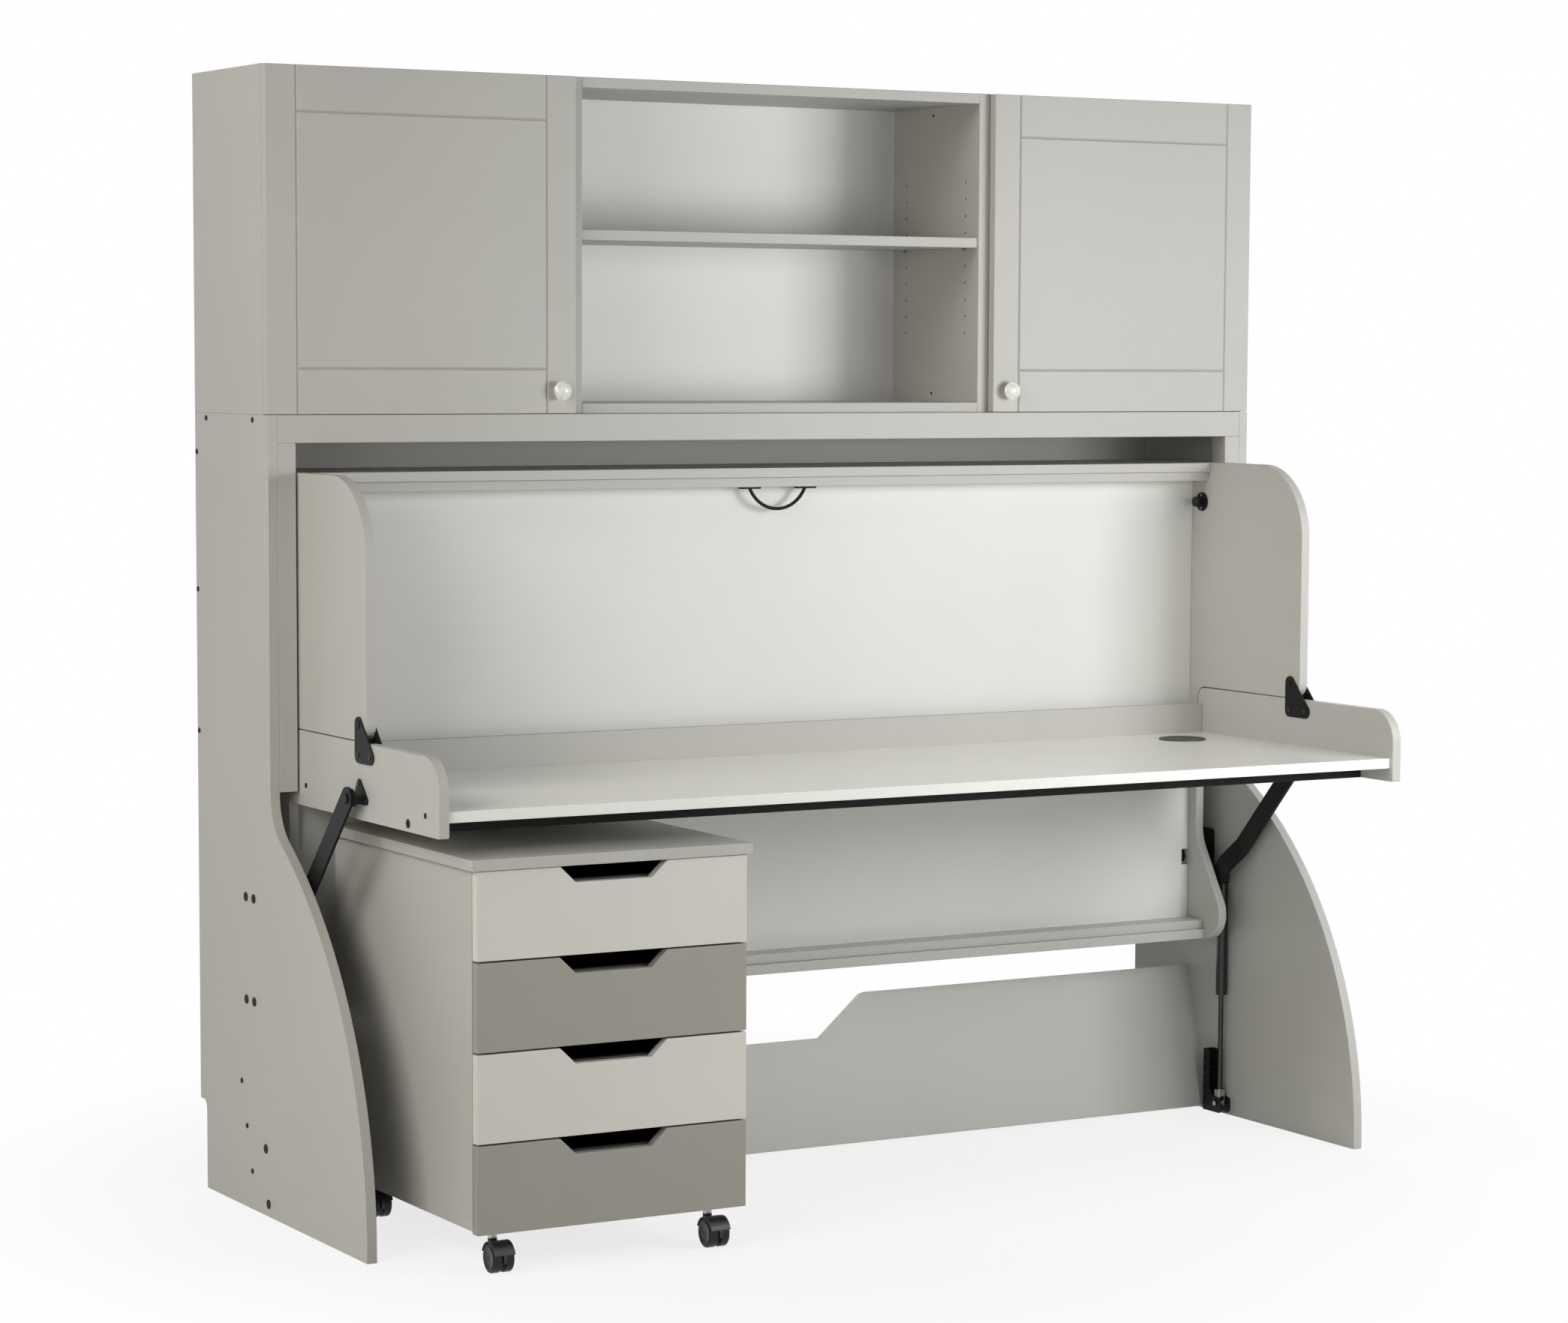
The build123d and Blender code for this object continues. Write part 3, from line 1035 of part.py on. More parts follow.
# Casters: a hooded fork that swivels and a pair of wheels on its axle
stems = [
    (x, depth)
    for depth in (PEDESTAL_FRONT - CASTER_INSET_FRONT, pedestal_back + CASTER_INSET_BACK)
    for x in (case_left + CASTER_INSET_X, case_right - CASTER_INSET_X)
]
wheel_in = CASTER_WEB / 2 + PLAY
wheel_out = wheel_in + WHEEL_WIDTH
hood_in = WHEEL_RADIUS + HOOD_ROOM
hood_out = hood_in + HOOD_WALL
hood_low = WHEEL_RADIUS + HOOD_RISE
web_low = WHEEL_RADIUS - CASTER_WEB_DROP
stem_low = WHEEL_RADIUS + STEM_RISE
hood_top = WHEEL_RADIUS + hood_out
stem_top = CASTER_HEIGHT - PLAY
for number, (x, depth) in enumerate(stems, 1):
    axle = depth + WHEEL_TRAIL
    span = (x - wheel_out, x + wheel_out)
    wide = (span[0] - OVERCUT, span[1] + OVERCUT)
    cover = (axle - hood_out - OVERCUT, axle + hood_out + OVERCUT)
    hollow = rod_x(*wide, axle, WHEEL_RADIUS, hood_in)
    hood = rod_x(*span, axle, WHEEL_RADIUS, hood_out) - hollow
    hood = hood & slab(wide, cover, (hood_low, hood_top + OVERCUT), 0)
    web = rod_x(x - CASTER_WEB / 2, x + CASTER_WEB / 2, axle, WHEEL_RADIUS, hood_in + HOOD_WALL / 2)
    web = web & slab(wide, cover, (web_low, hood_top + OVERCUT), 0)
    shaft = rod_x(*span, axle, WHEEL_RADIUS, AXLE_RADIUS)
    stem = rod_z(x, depth, stem_low, stem_top, STEM_RADIUS)
    bridge = slab(
        (x - STEM_RADIUS, x + STEM_RADIUS),
        (depth - BRIDGE_LAP, axle - BRIDGE_FRONT),
        (stem_low, hood_top - BRIDGE_DROP),
        0,
    )
    plate = rod_z(x, depth, stem_top - CASTER_PLATE, stem_top, CASTER_PLATE_RADIUS)
    save(f"caster_fork_{number}", hood + web + shaft + (stem - hollow) + (bridge - hollow) + plate)
    wheels = []
    for near, far in ((x + wheel_in, x + wheel_out - PLAY), (x - wheel_out + PLAY, x - wheel_in)):
        wheel = rod_x(near, far, axle, WHEEL_RADIUS, WHEEL_RADIUS)
        wheel = fillet(wheel.edges().filter_by(GeomType.CIRCLE), WHEEL_EDGE)
        bore = rod_x(near - OVERCUT, far + OVERCUT, axle, WHEEL_RADIUS, AXLE_RADIUS + RUN_PLAY)
        wheels.append(wheel - bore)
    save(f"caster_wheels_{number}", *wheels)
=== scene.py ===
# %% [markdown]
# # A wall bed with a desk, dressed for its picture
# The bed stands folded against the wall, with a desk riding level in front of it, a hutch on top
# and a drawer pedestal underneath. The boards, arms and struts arrive as finished solids, so this
# lesson gives them their finishes, adds the small fittings a hand would find, and sets the
# photographer's view.

# %% Load the solids and keep their box
import math

import bpy
from mathutils import Matrix, Vector


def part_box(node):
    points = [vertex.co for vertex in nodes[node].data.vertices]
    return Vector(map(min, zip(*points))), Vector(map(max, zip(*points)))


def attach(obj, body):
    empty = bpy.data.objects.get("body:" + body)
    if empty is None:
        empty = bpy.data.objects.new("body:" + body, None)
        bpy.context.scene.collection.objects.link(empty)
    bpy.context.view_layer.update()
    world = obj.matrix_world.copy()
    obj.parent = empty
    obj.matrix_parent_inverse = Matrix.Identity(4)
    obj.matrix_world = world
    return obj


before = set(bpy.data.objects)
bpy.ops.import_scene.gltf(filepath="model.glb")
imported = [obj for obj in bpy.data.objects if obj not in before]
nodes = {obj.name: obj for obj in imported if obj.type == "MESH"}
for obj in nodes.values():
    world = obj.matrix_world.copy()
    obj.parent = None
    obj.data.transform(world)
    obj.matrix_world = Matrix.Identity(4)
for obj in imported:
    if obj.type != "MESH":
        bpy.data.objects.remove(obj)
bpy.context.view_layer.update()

# %% [markdown]
# ## Places measured from the wall
# Everything on this furniture is measured forward from the wall, so one small helper turns a depth
# in millimetres into the frame's metres. Reading the wall's place from the back panel keeps it
# honest.

# %% A point from its x, depth and height
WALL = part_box("back_panel")[1].y


def point(x, depth, height):
    """Place in metres from millimetres: across, forward from the wall, up from the floor."""
    return Vector((x / 1000, WALL - depth / 1000, height / 1000))


print("wall plane at y =", round(WALL, 4))

# %% [markdown]
# ## Laminate for the boards
# The boards are chipboard under a matt lacquered laminate. Close up it has a soft, slightly pebbled
# skin and very faint clouds of tone. A principled shader with two noises in Object coordinates does
# both: a wide noise moves the colour a little, a fine one makes the bump and the change in gloss.

# %% Helpers for node materials
NOISE_LOW, NOISE_HIGH = 0.3, 0.7


def new_finish(name):
    """Empty material with a principled shader, its node tree and its Object coordinates."""
    finish = bpy.data.materials.new(name)
    finish.use_nodes = True
    tree = finish.node_tree
    shader = tree.nodes["Principled BSDF"]
    place = tree.nodes.new("ShaderNodeTexCoord")
    return finish, tree, shader, place.outputs["Object"]


def noise(tree, place, scale, detail):
    """Noise of that scale and detail."""
    texture = tree.nodes.new("ShaderNodeTexNoise")
    texture.inputs["Scale"].default_value = scale
    texture.inputs["Detail"].default_value = detail
    tree.links.new(place, texture.inputs["Vector"])
    return texture.outputs["Fac"]


def between(tree, factor, low, high):
    """Noise spread over low to high."""
    spread = tree.nodes.new("ShaderNodeMapRange")
    spread.inputs["From Min"].default_value = NOISE_LOW
    spread.inputs["From Max"].default_value = NOISE_HIGH
    spread.inputs["To Min"].default_value = low
    spread.inputs["To Max"].default_value = high
    tree.links.new(factor, spread.inputs["Value"])
    return spread.outputs["Result"]


def tint(tree, factor, dark, light):
    """Colour that drifts from dark to light with the factor."""
    blend = tree.nodes.new("ShaderNodeMix")
    blend.data_type = "RGBA"
    blend.inputs["A"].default_value = dark
    blend.inputs["B"].default_value = light
    tree.links.new(factor, blend.inputs["Factor"])
    return blend.outputs["Result"]


def bump(tree, factor, shader, strength, distance):
    """Relief on the shader from the factor."""
    relief = tree.nodes.new("ShaderNodeBump")
    relief.inputs["Strength"].default_value = strength
    relief.inputs["Distance"].default_value = distance
    tree.links.new(factor, relief.inputs["Height"])
    tree.links.new(relief.outputs["Normal"], shader.inputs["Normal"])


def from_screen(red, green, blue, level=1.0):
    """Linear colour from 0 to 255 screen values by the sRGB curve, lighter or darker by level."""
    linear = []
    for value in (red, green, blue):
        value = value / 255
        low = value / 12.92
        high = ((value + 0.055) / 1.055) ** 2.4
        linear.append(min(1.0, level * (low if value <= 0.04045 else high)))
    return (*linear, 1.0)


CLOUD_DETAIL, SKIN_DETAIL = 3.0, 2.0
CLOUD_DARK, CLOUD_LIGHT = 0.965, 1.02
SKIN_SCALE, SKIN_STRENGTH, SKIN_HEIGHT = 900.0, 0.08, 0.0004
BOARD_CLOUDS = 2.2
BOARD_GLOSS_DOWN, BOARD_GLOSS_UP = 0.04, 0.05


def clouded(tree, place, colour, scale):
    """Colour with faint clouds of tone."""
    drift = between(tree, noise(tree, place, scale, CLOUD_DETAIL), 0.0, 1.0)
    return tint(tree, drift, from_screen(*colour, CLOUD_DARK), from_screen(*colour, CLOUD_LIGHT))


def pebbled(tree, place, shader, low, high):
    """Fine pebbled skin whose roughness runs from low to high."""
    skin = noise(tree, place, SKIN_SCALE, SKIN_DETAIL)
    tree.links.new(between(tree, skin, low, high), shader.inputs["Roughness"])
    bump(tree, skin, shader, SKIN_STRENGTH, SKIN_HEIGHT)


def laminate(name, colour, gloss):
    """Matt laminate: faint clouds of tone and a fine pebbled skin."""
    finish, tree, shader, place = new_finish(name)
    tone = clouded(tree, place, colour, BOARD_CLOUDS)
    tree.links.new(tone, shader.inputs["Base Color"])
    pebbled(tree, place, shader, gloss - BOARD_GLOSS_DOWN, gloss + BOARD_GLOSS_UP)
    return finish


grey_board = laminate("grey_board", (188, 187, 182), gloss=0.46)
off_white_board = laminate("off_white_board", (228, 228, 225), gloss=0.42)
desk_white = laminate("desk_white", (246, 246, 242), gloss=0.26)
hutch_back_white = laminate("hutch_back_white", (235, 235, 234), gloss=0.42)
boards = (grey_board, off_white_board, desk_white, hutch_back_white)
print("laminates:", [finish.name for finish in boards])

# %% [markdown]
# ## Drawer fronts over dark trays, with a painted shadow line
# Each drawer is a lacquered front on a dark tray. The same shader can carry both: where the Object
# coordinate lies behind a plane just inside the front's back edge, the colour turns to the tray's
# charcoal. On the front's own back edge that charcoal is a painted shadow line, standing in for the
# shade in the gap between the front and the case.

# %% Drawer fronts, pale and taupe
FRONT_SHOWN = 0.017
# Behind this plane the front's last millimetres are painted charcoal as a painted shadow line.
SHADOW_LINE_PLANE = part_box("drawer_1")[0].y + FRONT_SHOWN
TRAY_AND_SHADOW_CHARCOAL = (34, 34, 35)
DRAWER_CLOUDS = 2.6
DRAWER_GLOSS = (0.4, 0.5)


def behind(tree, place, axis, limit):
    """One where the coordinate on that axis is past the limit, zero before it."""
    split = tree.nodes.new("ShaderNodeSeparateXYZ")
    tree.links.new(place, split.inputs["Vector"])
    past = tree.nodes.new("ShaderNodeMath")
    past.operation = "GREATER_THAN"
    past.inputs[1].default_value = limit
    tree.links.new(split.outputs[axis], past.inputs[0])
    return past.outputs["Value"]


def drawer_lacquer_and_shadow(name, colour):
    """Laminated front with a charcoal tray behind it and a painted shadow line on its back edge."""
    finish, tree, shader, place = new_finish(name)
    split = tree.nodes.new("ShaderNodeMix")
    split.data_type = "RGBA"
    split.inputs["B"].default_value = from_screen(*TRAY_AND_SHADOW_CHARCOAL)
    tree.links.new(clouded(tree, place, colour, DRAWER_CLOUDS), split.inputs["A"])
    # Charcoal behind the plane: the tray's colour, and a painted shadow line on the front's back
    # edge.
    tree.links.new(behind(tree, place, "Y", SHADOW_LINE_PLANE), split.inputs["Factor"])
    tree.links.new(split.outputs["Result"], shader.inputs["Base Color"])
    pebbled(tree, place, shader, *DRAWER_GLOSS)
    return finish


pale_front = drawer_lacquer_and_shadow("pale_front", (219, 217, 210))
taupe_front = drawer_lacquer_and_shadow("taupe_front", (160, 157, 149))
print("drawer fronts:", pale_front.name, taupe_front.name)

# %% [markdown]
# ## Black and bright metal
# The brackets, arms and rail are powder coated: black, satin, with the fine orange peel of baked
# powder. The strut tubes are smoother paint, the rods dark steel and the clevises bright zinc. A rod
# and its clevis are one solid, and so are a caster's stem and hood, so those finishes change at a
# height. In the others, colour, gloss and relief all follow one fine noise.

# %% Metal finishes
POWDER = {"detail": 3.0, "tone": (0.8, 1.2), "gloss": (0.06, 0.08), "relief": (0.25, 0.0004)}
PLATED = {"detail": 4.0, "tone": (0.82, 1.08), "gloss": (0.06, 0.1), "relief": (0.06, 0.0003)}
PLATED_SCALE = 260.0
MIXED_SCALE, MIXED_DETAIL = 420.0, 3.0
MIXED_GLOSS_DOWN, MIXED_GLOSS_UP = 0.05, 0.07
MIXED_RELIEF = (0.1, 0.0003)
PLAIN_SPECULAR = 0.5


def grained(name, colour, gloss, scale, kind):
    """Finish whose colour, gloss and relief follow one fine noise, and its shader."""
    finish, tree, shader, place = new_finish(name)
    grain = noise(tree, place, scale, kind["detail"])
    dark, light = kind["tone"]
    drift = between(tree, grain, 0.0, 1.0)
    tone = tint(tree, drift, from_screen(*colour, dark), from_screen(*colour, light))
    tree.links.new(tone, shader.inputs["Base Color"])
    down, up = kind["gloss"]
    tree.links.new(between(tree, grain, gloss - down, gloss + up), shader.inputs["Roughness"])
    bump(tree, grain, shader, *kind["relief"])
    return finish, shader


def powder_coat(name, colour, gloss, peel, specular=PLAIN_SPECULAR):
    """Baked powder: an even colour under a fine orange peel."""
    finish, shader = grained(name, colour, gloss, peel, POWDER)
    shader.inputs["Specular IOR Level"].default_value = specular
    return finish


def bright_metal(name, colour, gloss):
    """Plated or polished metal with a fine grain."""
    finish, shader = grained(name, colour, gloss, PLATED_SCALE, PLATED)
    shader.inputs["Metallic"].default_value = 1.0
    return finish


def two_metals(name, upper, lower, height):
    """One finish above a height and another below it, for a piece made of both."""
    finish, tree, shader, place = new_finish(name)
    above = behind(tree, place, "Z", height)
    tone = tint(tree, above, from_screen(*lower["colour"]), from_screen(*upper["colour"]))
    tree.links.new(tone, shader.inputs["Base Color"])
    grain = noise(tree, place, MIXED_SCALE, MIXED_DETAIL)
    gloss = tree.nodes.new("ShaderNodeMix")
    tree.links.new(above, gloss.inputs["Factor"])
    for socket, metal in (("A", lower), ("B", upper)):
        smooth, rough = metal["gloss"] - MIXED_GLOSS_DOWN, metal["gloss"] + MIXED_GLOSS_UP
        tree.links.new(between(tree, grain, smooth, rough), gloss.inputs[socket])
    tree.links.new(gloss.outputs["Result"], shader.inputs["Roughness"])
    metallic = tree.nodes.new("ShaderNodeMapRange")
    metallic.inputs["To Min"].default_value = lower["metal"]
    metallic.inputs["To Max"].default_value = upper["metal"]
    tree.links.new(above, metallic.inputs["Value"])
    tree.links.new(metallic.outputs["Result"], shader.inputs["Metallic"])
    bump(tree, grain, shader, *MIXED_RELIEF)
    return finish


ZINC = {"colour": (186, 188, 190), "gloss": 0.3, "metal": 1.0}
DARK_ROD = {"colour": (68, 67, 66), "gloss": 0.24, "metal": 1.0}
NYLON = {"colour": (22, 22, 23), "gloss": 0.4, "metal": 0.0}
CLEVIS_TOP = 0.0515
HOOD_TOP = 0.0545
black_steel = powder_coat("black_steel", (27, 27, 28), gloss=0.48, peel=700.0, specular=0.14)
strut_paint = powder_coat("strut_paint", (24, 24, 25), gloss=0.3, peel=350.0)
bolt_black = powder_coat("bolt_black", (26, 26, 27), gloss=0.6, peel=700.0, specular=0.15)
strut_rod_metal = two_metals("strut_rod_metal", DARK_ROD, ZINC, CLEVIS_TOP)
caster_fork_finish = two_metals("caster_fork_finish", ZINC, NYLON, HOOD_TOP)
zinc = bright_metal("zinc", ZINC["colour"], ZINC["gloss"])
screw_steel = bright_metal("screw_steel", (84, 83, 82), gloss=0.34)
dull_nickel = bright_metal("dull_nickel", (158, 147, 137), gloss=0.36)
coated = (black_steel, strut_paint, bolt_black)
bare = (strut_rod_metal, caster_fork_finish, zinc, screw_steel, dull_nickel)
print("metals:", [finish.name for finish in coated + bare])

# %% [markdown]
# ## Plastic: casters, grommet and door knobs
# The casters are moulded black nylon and the cable grommet is dark grey, both with a faint spark
# texture. The door knobs are glossy white, with a clear coat that catches the studio light as a
# small highlight.

# %% Plastic finishes
MOULD = {"detail": 2.0, "tone": (0.85, 1.15), "gloss": (0.05, 0.08), "relief": (0.12, 0.0003)}
NYLON_SPARK, NYLON_SPECULAR = 1200.0, 0.3


def moulded(name, colour, gloss, spark, specular=PLAIN_SPECULAR, coat=0.0):
    """Moulded plastic with a spark-eroded skin."""
    finish, shader = grained(name, colour, gloss, spark, MOULD)
    shader.inputs["Specular IOR Level"].default_value = specular
    shader.inputs["Coat Weight"].default_value = coat
    return finish


black_nylon = moulded("black_nylon", NYLON["colour"], NYLON["gloss"], NYLON_SPARK, NYLON_SPECULAR)
grommet_grey = moulded("grommet_grey", (62, 62, 60), gloss=0.45, spark=NYLON_SPARK)
knob_white = moulded("knob_white", (236, 236, 231), gloss=0.16, spark=200.0, coat=0.6)
hub_gloss = moulded("hub_gloss", (24, 24, 25), gloss=0.3, spark=300.0, specular=NYLON_SPECULAR)
print("plastics:", black_nylon.name, grommet_grey.name, knob_white.name, hub_gloss.name)

# %% [markdown]
# ## Dress every solid
# Each solid keeps its mesh and only changes its finish. One table says which finish goes where, and
# anything that isn't named is grey board, because most of this furniture is.

# %% Finishes on the solids
CASTERS = range(1, 5)
finishes = {
    "bed_base": off_white_board,
    "desk_top": desk_white,
    "hutch_backs": hutch_back_white,
    "drawer_1": pale_front,
    "drawer_2": taupe_front,
    "drawer_3": pale_front,
    "drawer_4": taupe_front,
    "knob_left": knob_white,
    "knob_right": knob_white,
    "desk_grommet": grommet_grey,
    "lock_bolt": black_nylon,
    "carcass_bolts": bolt_black,
    "pivot_brackets": black_steel,
    "pull_handle": black_steel,
    "desk_rail": black_steel,
    "desk_hinge_plates": black_steel,
    "arm_brackets": black_steel,
    "strut_feet": black_steel,
    "link_arm_left": black_steel,
    "link_arm_right": black_steel,
    "lock_flange": black_steel,
    "strut_cylinder_left": strut_paint,
    "strut_cylinder_right": strut_paint,
    "strut_rod_left": strut_rod_metal,
    "strut_rod_right": strut_rod_metal,
    "pivot_bushes": zinc,
    "hinge_mounts": zinc,
    "hinge_cups_left": zinc,
    "hinge_cups_right": zinc,
    "shelf_pins": zinc,
    "drawer_runners": zinc,
}
for number in CASTERS:
    finishes[f"caster_fork_{number}"] = caster_fork_finish
    finishes[f"caster_wheels_{number}"] = black_nylon
for name, solid in nodes.items():
    for slot in solid.material_slots:
        slot.material = finishes.get(name, grey_board)
print("dressed:", len(nodes), "solids, of which grey board:", len(nodes) - len(finishes))

# %% [markdown]
# ## Screw heads
# Small screws hold the hinge plates, the arm brackets and the lock, bright heads close the pins at
# the strut feet, three flat black heads close the holes in the left desk side, and four dark plugs
# show inside the hutch. Each kind is turned from a cylinder: its top face is inset to dome it, inset
# again for a flat, and once more to sink the driver socket. It is then copied to every place,
# because a fixing is always the same part.

# %% Model one screw head and copy it
FACING_UP = 0.9
SMOOTH_ANGLE = math.radians(35)
SCREW_SIDES = 24
DOME_WIDTH, DOME_RISE = 0.28, 0.4
FLAT_WIDTH, SOCKET_SLOPE = 0.22, 0.06


def lay_flat():
    """Back to object mode with nothing selected."""
    if bpy.context.mode != "OBJECT":
        bpy.ops.object.mode_set(mode="OBJECT")
    bpy.ops.object.select_all(action="DESELECT")


def pick_top(piece):
    """Selects the faces that look up, in edit mode."""
    bpy.ops.object.mode_set(mode="OBJECT")
    for edge in piece.data.edges:
        edge.select = False
    for corner in piece.data.vertices:
        corner.select = False
    for face in piece.data.polygons:
        face.select = face.normal.z > FACING_UP
    bpy.ops.object.mode_set(mode="EDIT")
    bpy.ops.mesh.select_mode(type="FACE")


def turn(sides, radius, height, middle, rings):
    """Cylinder about that middle, its top inset by each ring of width and rise in turn."""
    lay_flat()
    bpy.ops.mesh.primitive_cylinder_add(
        vertices=sides, radius=radius, depth=height, location=middle
    )
    piece = bpy.context.object
    bpy.ops.object.transform_apply(location=True, rotation=True, scale=True)
    pick_top(piece)
    for width, rise in rings:
        bpy.ops.mesh.inset(thickness=width, depth=rise)
    lay_flat()
    return piece


def turn_screw(radius, height, socket):
    """Pan head of that height with a socket sunk into it, standing on the origin along +Z."""
    rings = (
        (radius * DOME_WIDTH, socket * DOME_RISE),
        (radius * FLAT_WIDTH, 0),
        (radius * SOCKET_SLOPE, -socket),
    )
    return turn(SCREW_SIDES, radius, height, (0, 0, height / 2), rings)


def set_piece(piece, name, body, finish):
    """Names a piece, gives it its finish and lets it ride on its body."""
    piece.name = name
    piece.data.name = name
    piece.data.materials.clear()
    piece.data.materials.append(finish)
    lay_flat()
    bpy.context.view_layer.objects.active = piece
    piece.select_set(True)
    bpy.ops.object.transform_apply(location=True, rotation=True, scale=True)
    bpy.ops.object.shade_smooth_by_angle(angle=SMOOTH_ANGLE)
    lay_flat()
    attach(piece, body)


def copies(model, spots):
    """One object with a copy of the model at each (place, axis) spot; the model itself goes."""
    placed = []
    for place, axis in spots:
        twin = model.copy()
        twin.data = model.data.copy()
        bpy.context.collection.objects.link(twin)
        swing = Vector((0, 0, 1)).rotation_difference(Vector(axis)).to_matrix().to_4x4()
        twin.matrix_world = Matrix.Translation(place) @ swing
        placed.append(twin)
    bpy.data.objects.remove(model)
    lay_flat()
    for twin in placed:
        twin.select_set(True)
    bpy.context.view_layer.objects.active = placed[0]
    bpy.ops.object.transform_apply(location=True, rotation=True, scale=True)
    if len(placed) > 1:
        bpy.ops.object.join()
    return bpy.context.object


# Places in millimetres, depths from the wall; sizes are radius, height and socket in metres
DESK_OUTER, DESK_INNER, PLATE = 993.0, 974.0, 3.0
HINGE_SCREW_DEPTHS, HINGE_SCREW_HEIGHT = (601, 651), 847
ARM_SCREWS = ((604, 800), (632, 771))
DESK_SCREW = (0.0042, 0.0014, 0.001)
LOCK_X, LOCK_DEPTH, LOCK_SCREW_HEIGHTS = 971.3, 299, (1229, 1255)
LOCK_SCREW = (0.003, 0.0012, 0.0008)
PIN_X, PIN_DEPTH, PIN_HEIGHT = 1004.7, 326, 24
PIN_HEAD = (0.005, 0.0005, 0.0005)
SMALL_BOLTS, LARGE_BOLTS = ((369, 773), (870, 770)), ((801, 750),)
SMALL_BOLT = (0.005, 0.0006, 0.0006)
LARGE_BOLT = (0.0078, 0.0008, 0.0009)
HUTCH_BAY, PLUG_DEPTH, PLUG_HEIGHTS = 425.5, 152, (1457, 1996)
PLUG = (0.0026, 0.0006, 0.0005)

desk_spots, pin_spots, plug_spots = [], [], []
for side in (-1, 1):
    outer, inner = side * (DESK_OUTER + PLATE), side * (DESK_INNER - PLATE)
    for depth in HINGE_SCREW_DEPTHS:
        desk_spots.append((point(outer, depth, HINGE_SCREW_HEIGHT), (side, 0, 0)))
        desk_spots.append((point(inner, depth, HINGE_SCREW_HEIGHT), (-side, 0, 0)))
    for depth, height in ARM_SCREWS:
        desk_spots.append((point(outer, depth, height), (side, 0, 0)))
    pin_spots.append((point(side * PIN_X, PIN_DEPTH, PIN_HEIGHT), (-side, 0, 0)))
    for height in PLUG_HEIGHTS:
        plug_spots.append((point(side * HUTCH_BAY, PLUG_DEPTH, height), (-side, 0, 0)))
lock_spots = [(point(LOCK_X, LOCK_DEPTH, height), (-1, 0, 0)) for height in LOCK_SCREW_HEIGHTS]
small_spots = [(point(-DESK_OUTER, *spot), (-1, 0, 0)) for spot in SMALL_BOLTS]
large_spots = [(point(-DESK_OUTER, *spot), (-1, 0, 0)) for spot in LARGE_BOLTS]

screws = (
    ("desk_screws", "desk", screw_steel, "black_steel", DESK_SCREW, desk_spots),
    ("lock_screws", "bed", dull_nickel, "grey_steel", LOCK_SCREW, lock_spots),
    ("foot_pin_heads", "carcass", zinc, "grey_steel", PIN_HEAD, pin_spots),
    ("side_screws_small", "desk", bolt_black, "black_steel", SMALL_BOLT, small_spots),
    ("side_screw_large", "desk", bolt_black, "black_steel", LARGE_BOLT, large_spots),
    ("divider_plugs", "carcass", bolt_black, "black_plastic", PLUG, plug_spots),
)
for name, body, finish, slot, size, spots in screws:
    set_piece(copies(turn_screw(*size), spots), name, body, finish)
print("screws:", {name: len(spots) for name, *_, spots in screws})

# %% [markdown]
# ## Cap for the cable grommet
# A flat cap with a slot for the leads closes the grommet in the desk. It starts as a disc that drops
# into the ring. Insets give it a raised rim and a finger dish, and a boolean with a slim block cuts
# the slot.

# %% Model the grommet cap
GROMMET_LOW, GROMMET_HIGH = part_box("desk_grommet")
CAP_SIDES, CAP_RADIUS, CAP_THICKNESS, CAP_DROP = 64, 0.0366, 0.003, 0.0006
CAP_RINGS = ((0.0025, 0.0), (0.0008, -0.0008))
SLOT_SIZE = (0.042, 0.009, 0.02)
cap_middle = (GROMMET_LOW + GROMMET_HIGH) / 2
cap_middle.z = GROMMET_HIGH.z - CAP_DROP - CAP_THICKNESS / 2
cap = turn(CAP_SIDES, CAP_RADIUS, CAP_THICKNESS, cap_middle, CAP_RINGS)
bpy.ops.mesh.primitive_cube_add(size=1, location=cap_middle, scale=SLOT_SIZE)
slot_block = bpy.context.object
bpy.ops.object.transform_apply(location=True, rotation=True, scale=True)
lay_flat()
cut = cap.modifiers.new("slot", "BOOLEAN")
cut.operation = "DIFFERENCE"
cut.object = slot_block
bpy.context.view_layer.objects.active = cap
bpy.ops.object.modifier_apply(modifier="slot")
bpy.data.objects.remove(slot_block)
set_piece(cap, "grommet_cap", "desk", grommet_grey)
print("grommet cap faces:", len(cap.data.polygons))

# %% [markdown]
# ## Hub discs on the caster wheels
# Each wheel of a twin caster is closed by a smooth dished disc, with the end of the axle showing in
# the middle. It is a turned shape, so a cylinder with its face inset in rings gives the lip, the
# dish and the well.

# %% Model one hub disc and copy it to both sides of each caster
HUB_SIDES, HUB_RADIUS, HUB_THICKNESS = 40, 0.019, 0.0012
HUB_RINGS = ((0.002, 0.0), (0.001, -0.0005), (0.0115, 0.0003), (0.0006, -0.0008))
for number in CASTERS:
    low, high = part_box(f"caster_wheels_{number}")
    middle = (low + high) / 2
    right = (Vector((high.x, middle.y, middle.z)), (1, 0, 0))
    left = (Vector((low.x, middle.y, middle.z)), (-1, 0, 0))
    hub = turn(HUB_SIDES, HUB_RADIUS, HUB_THICKNESS, (0, 0, HUB_THICKNESS / 2), HUB_RINGS)
    hubs = copies(hub, (right, left))
    set_piece(hubs, f"hub_discs_{number}", f"wheels_{number}", hub_gloss)
print("hub discs: two on each of", len(CASTERS), "casters")

# %% [markdown]
# ## The photographer's view
# The picture was taken with a long lens from the left, at about eye height. The camera is placed by
# its turn, tilt and roll, and a small shift stands in for the crop of the original frame.

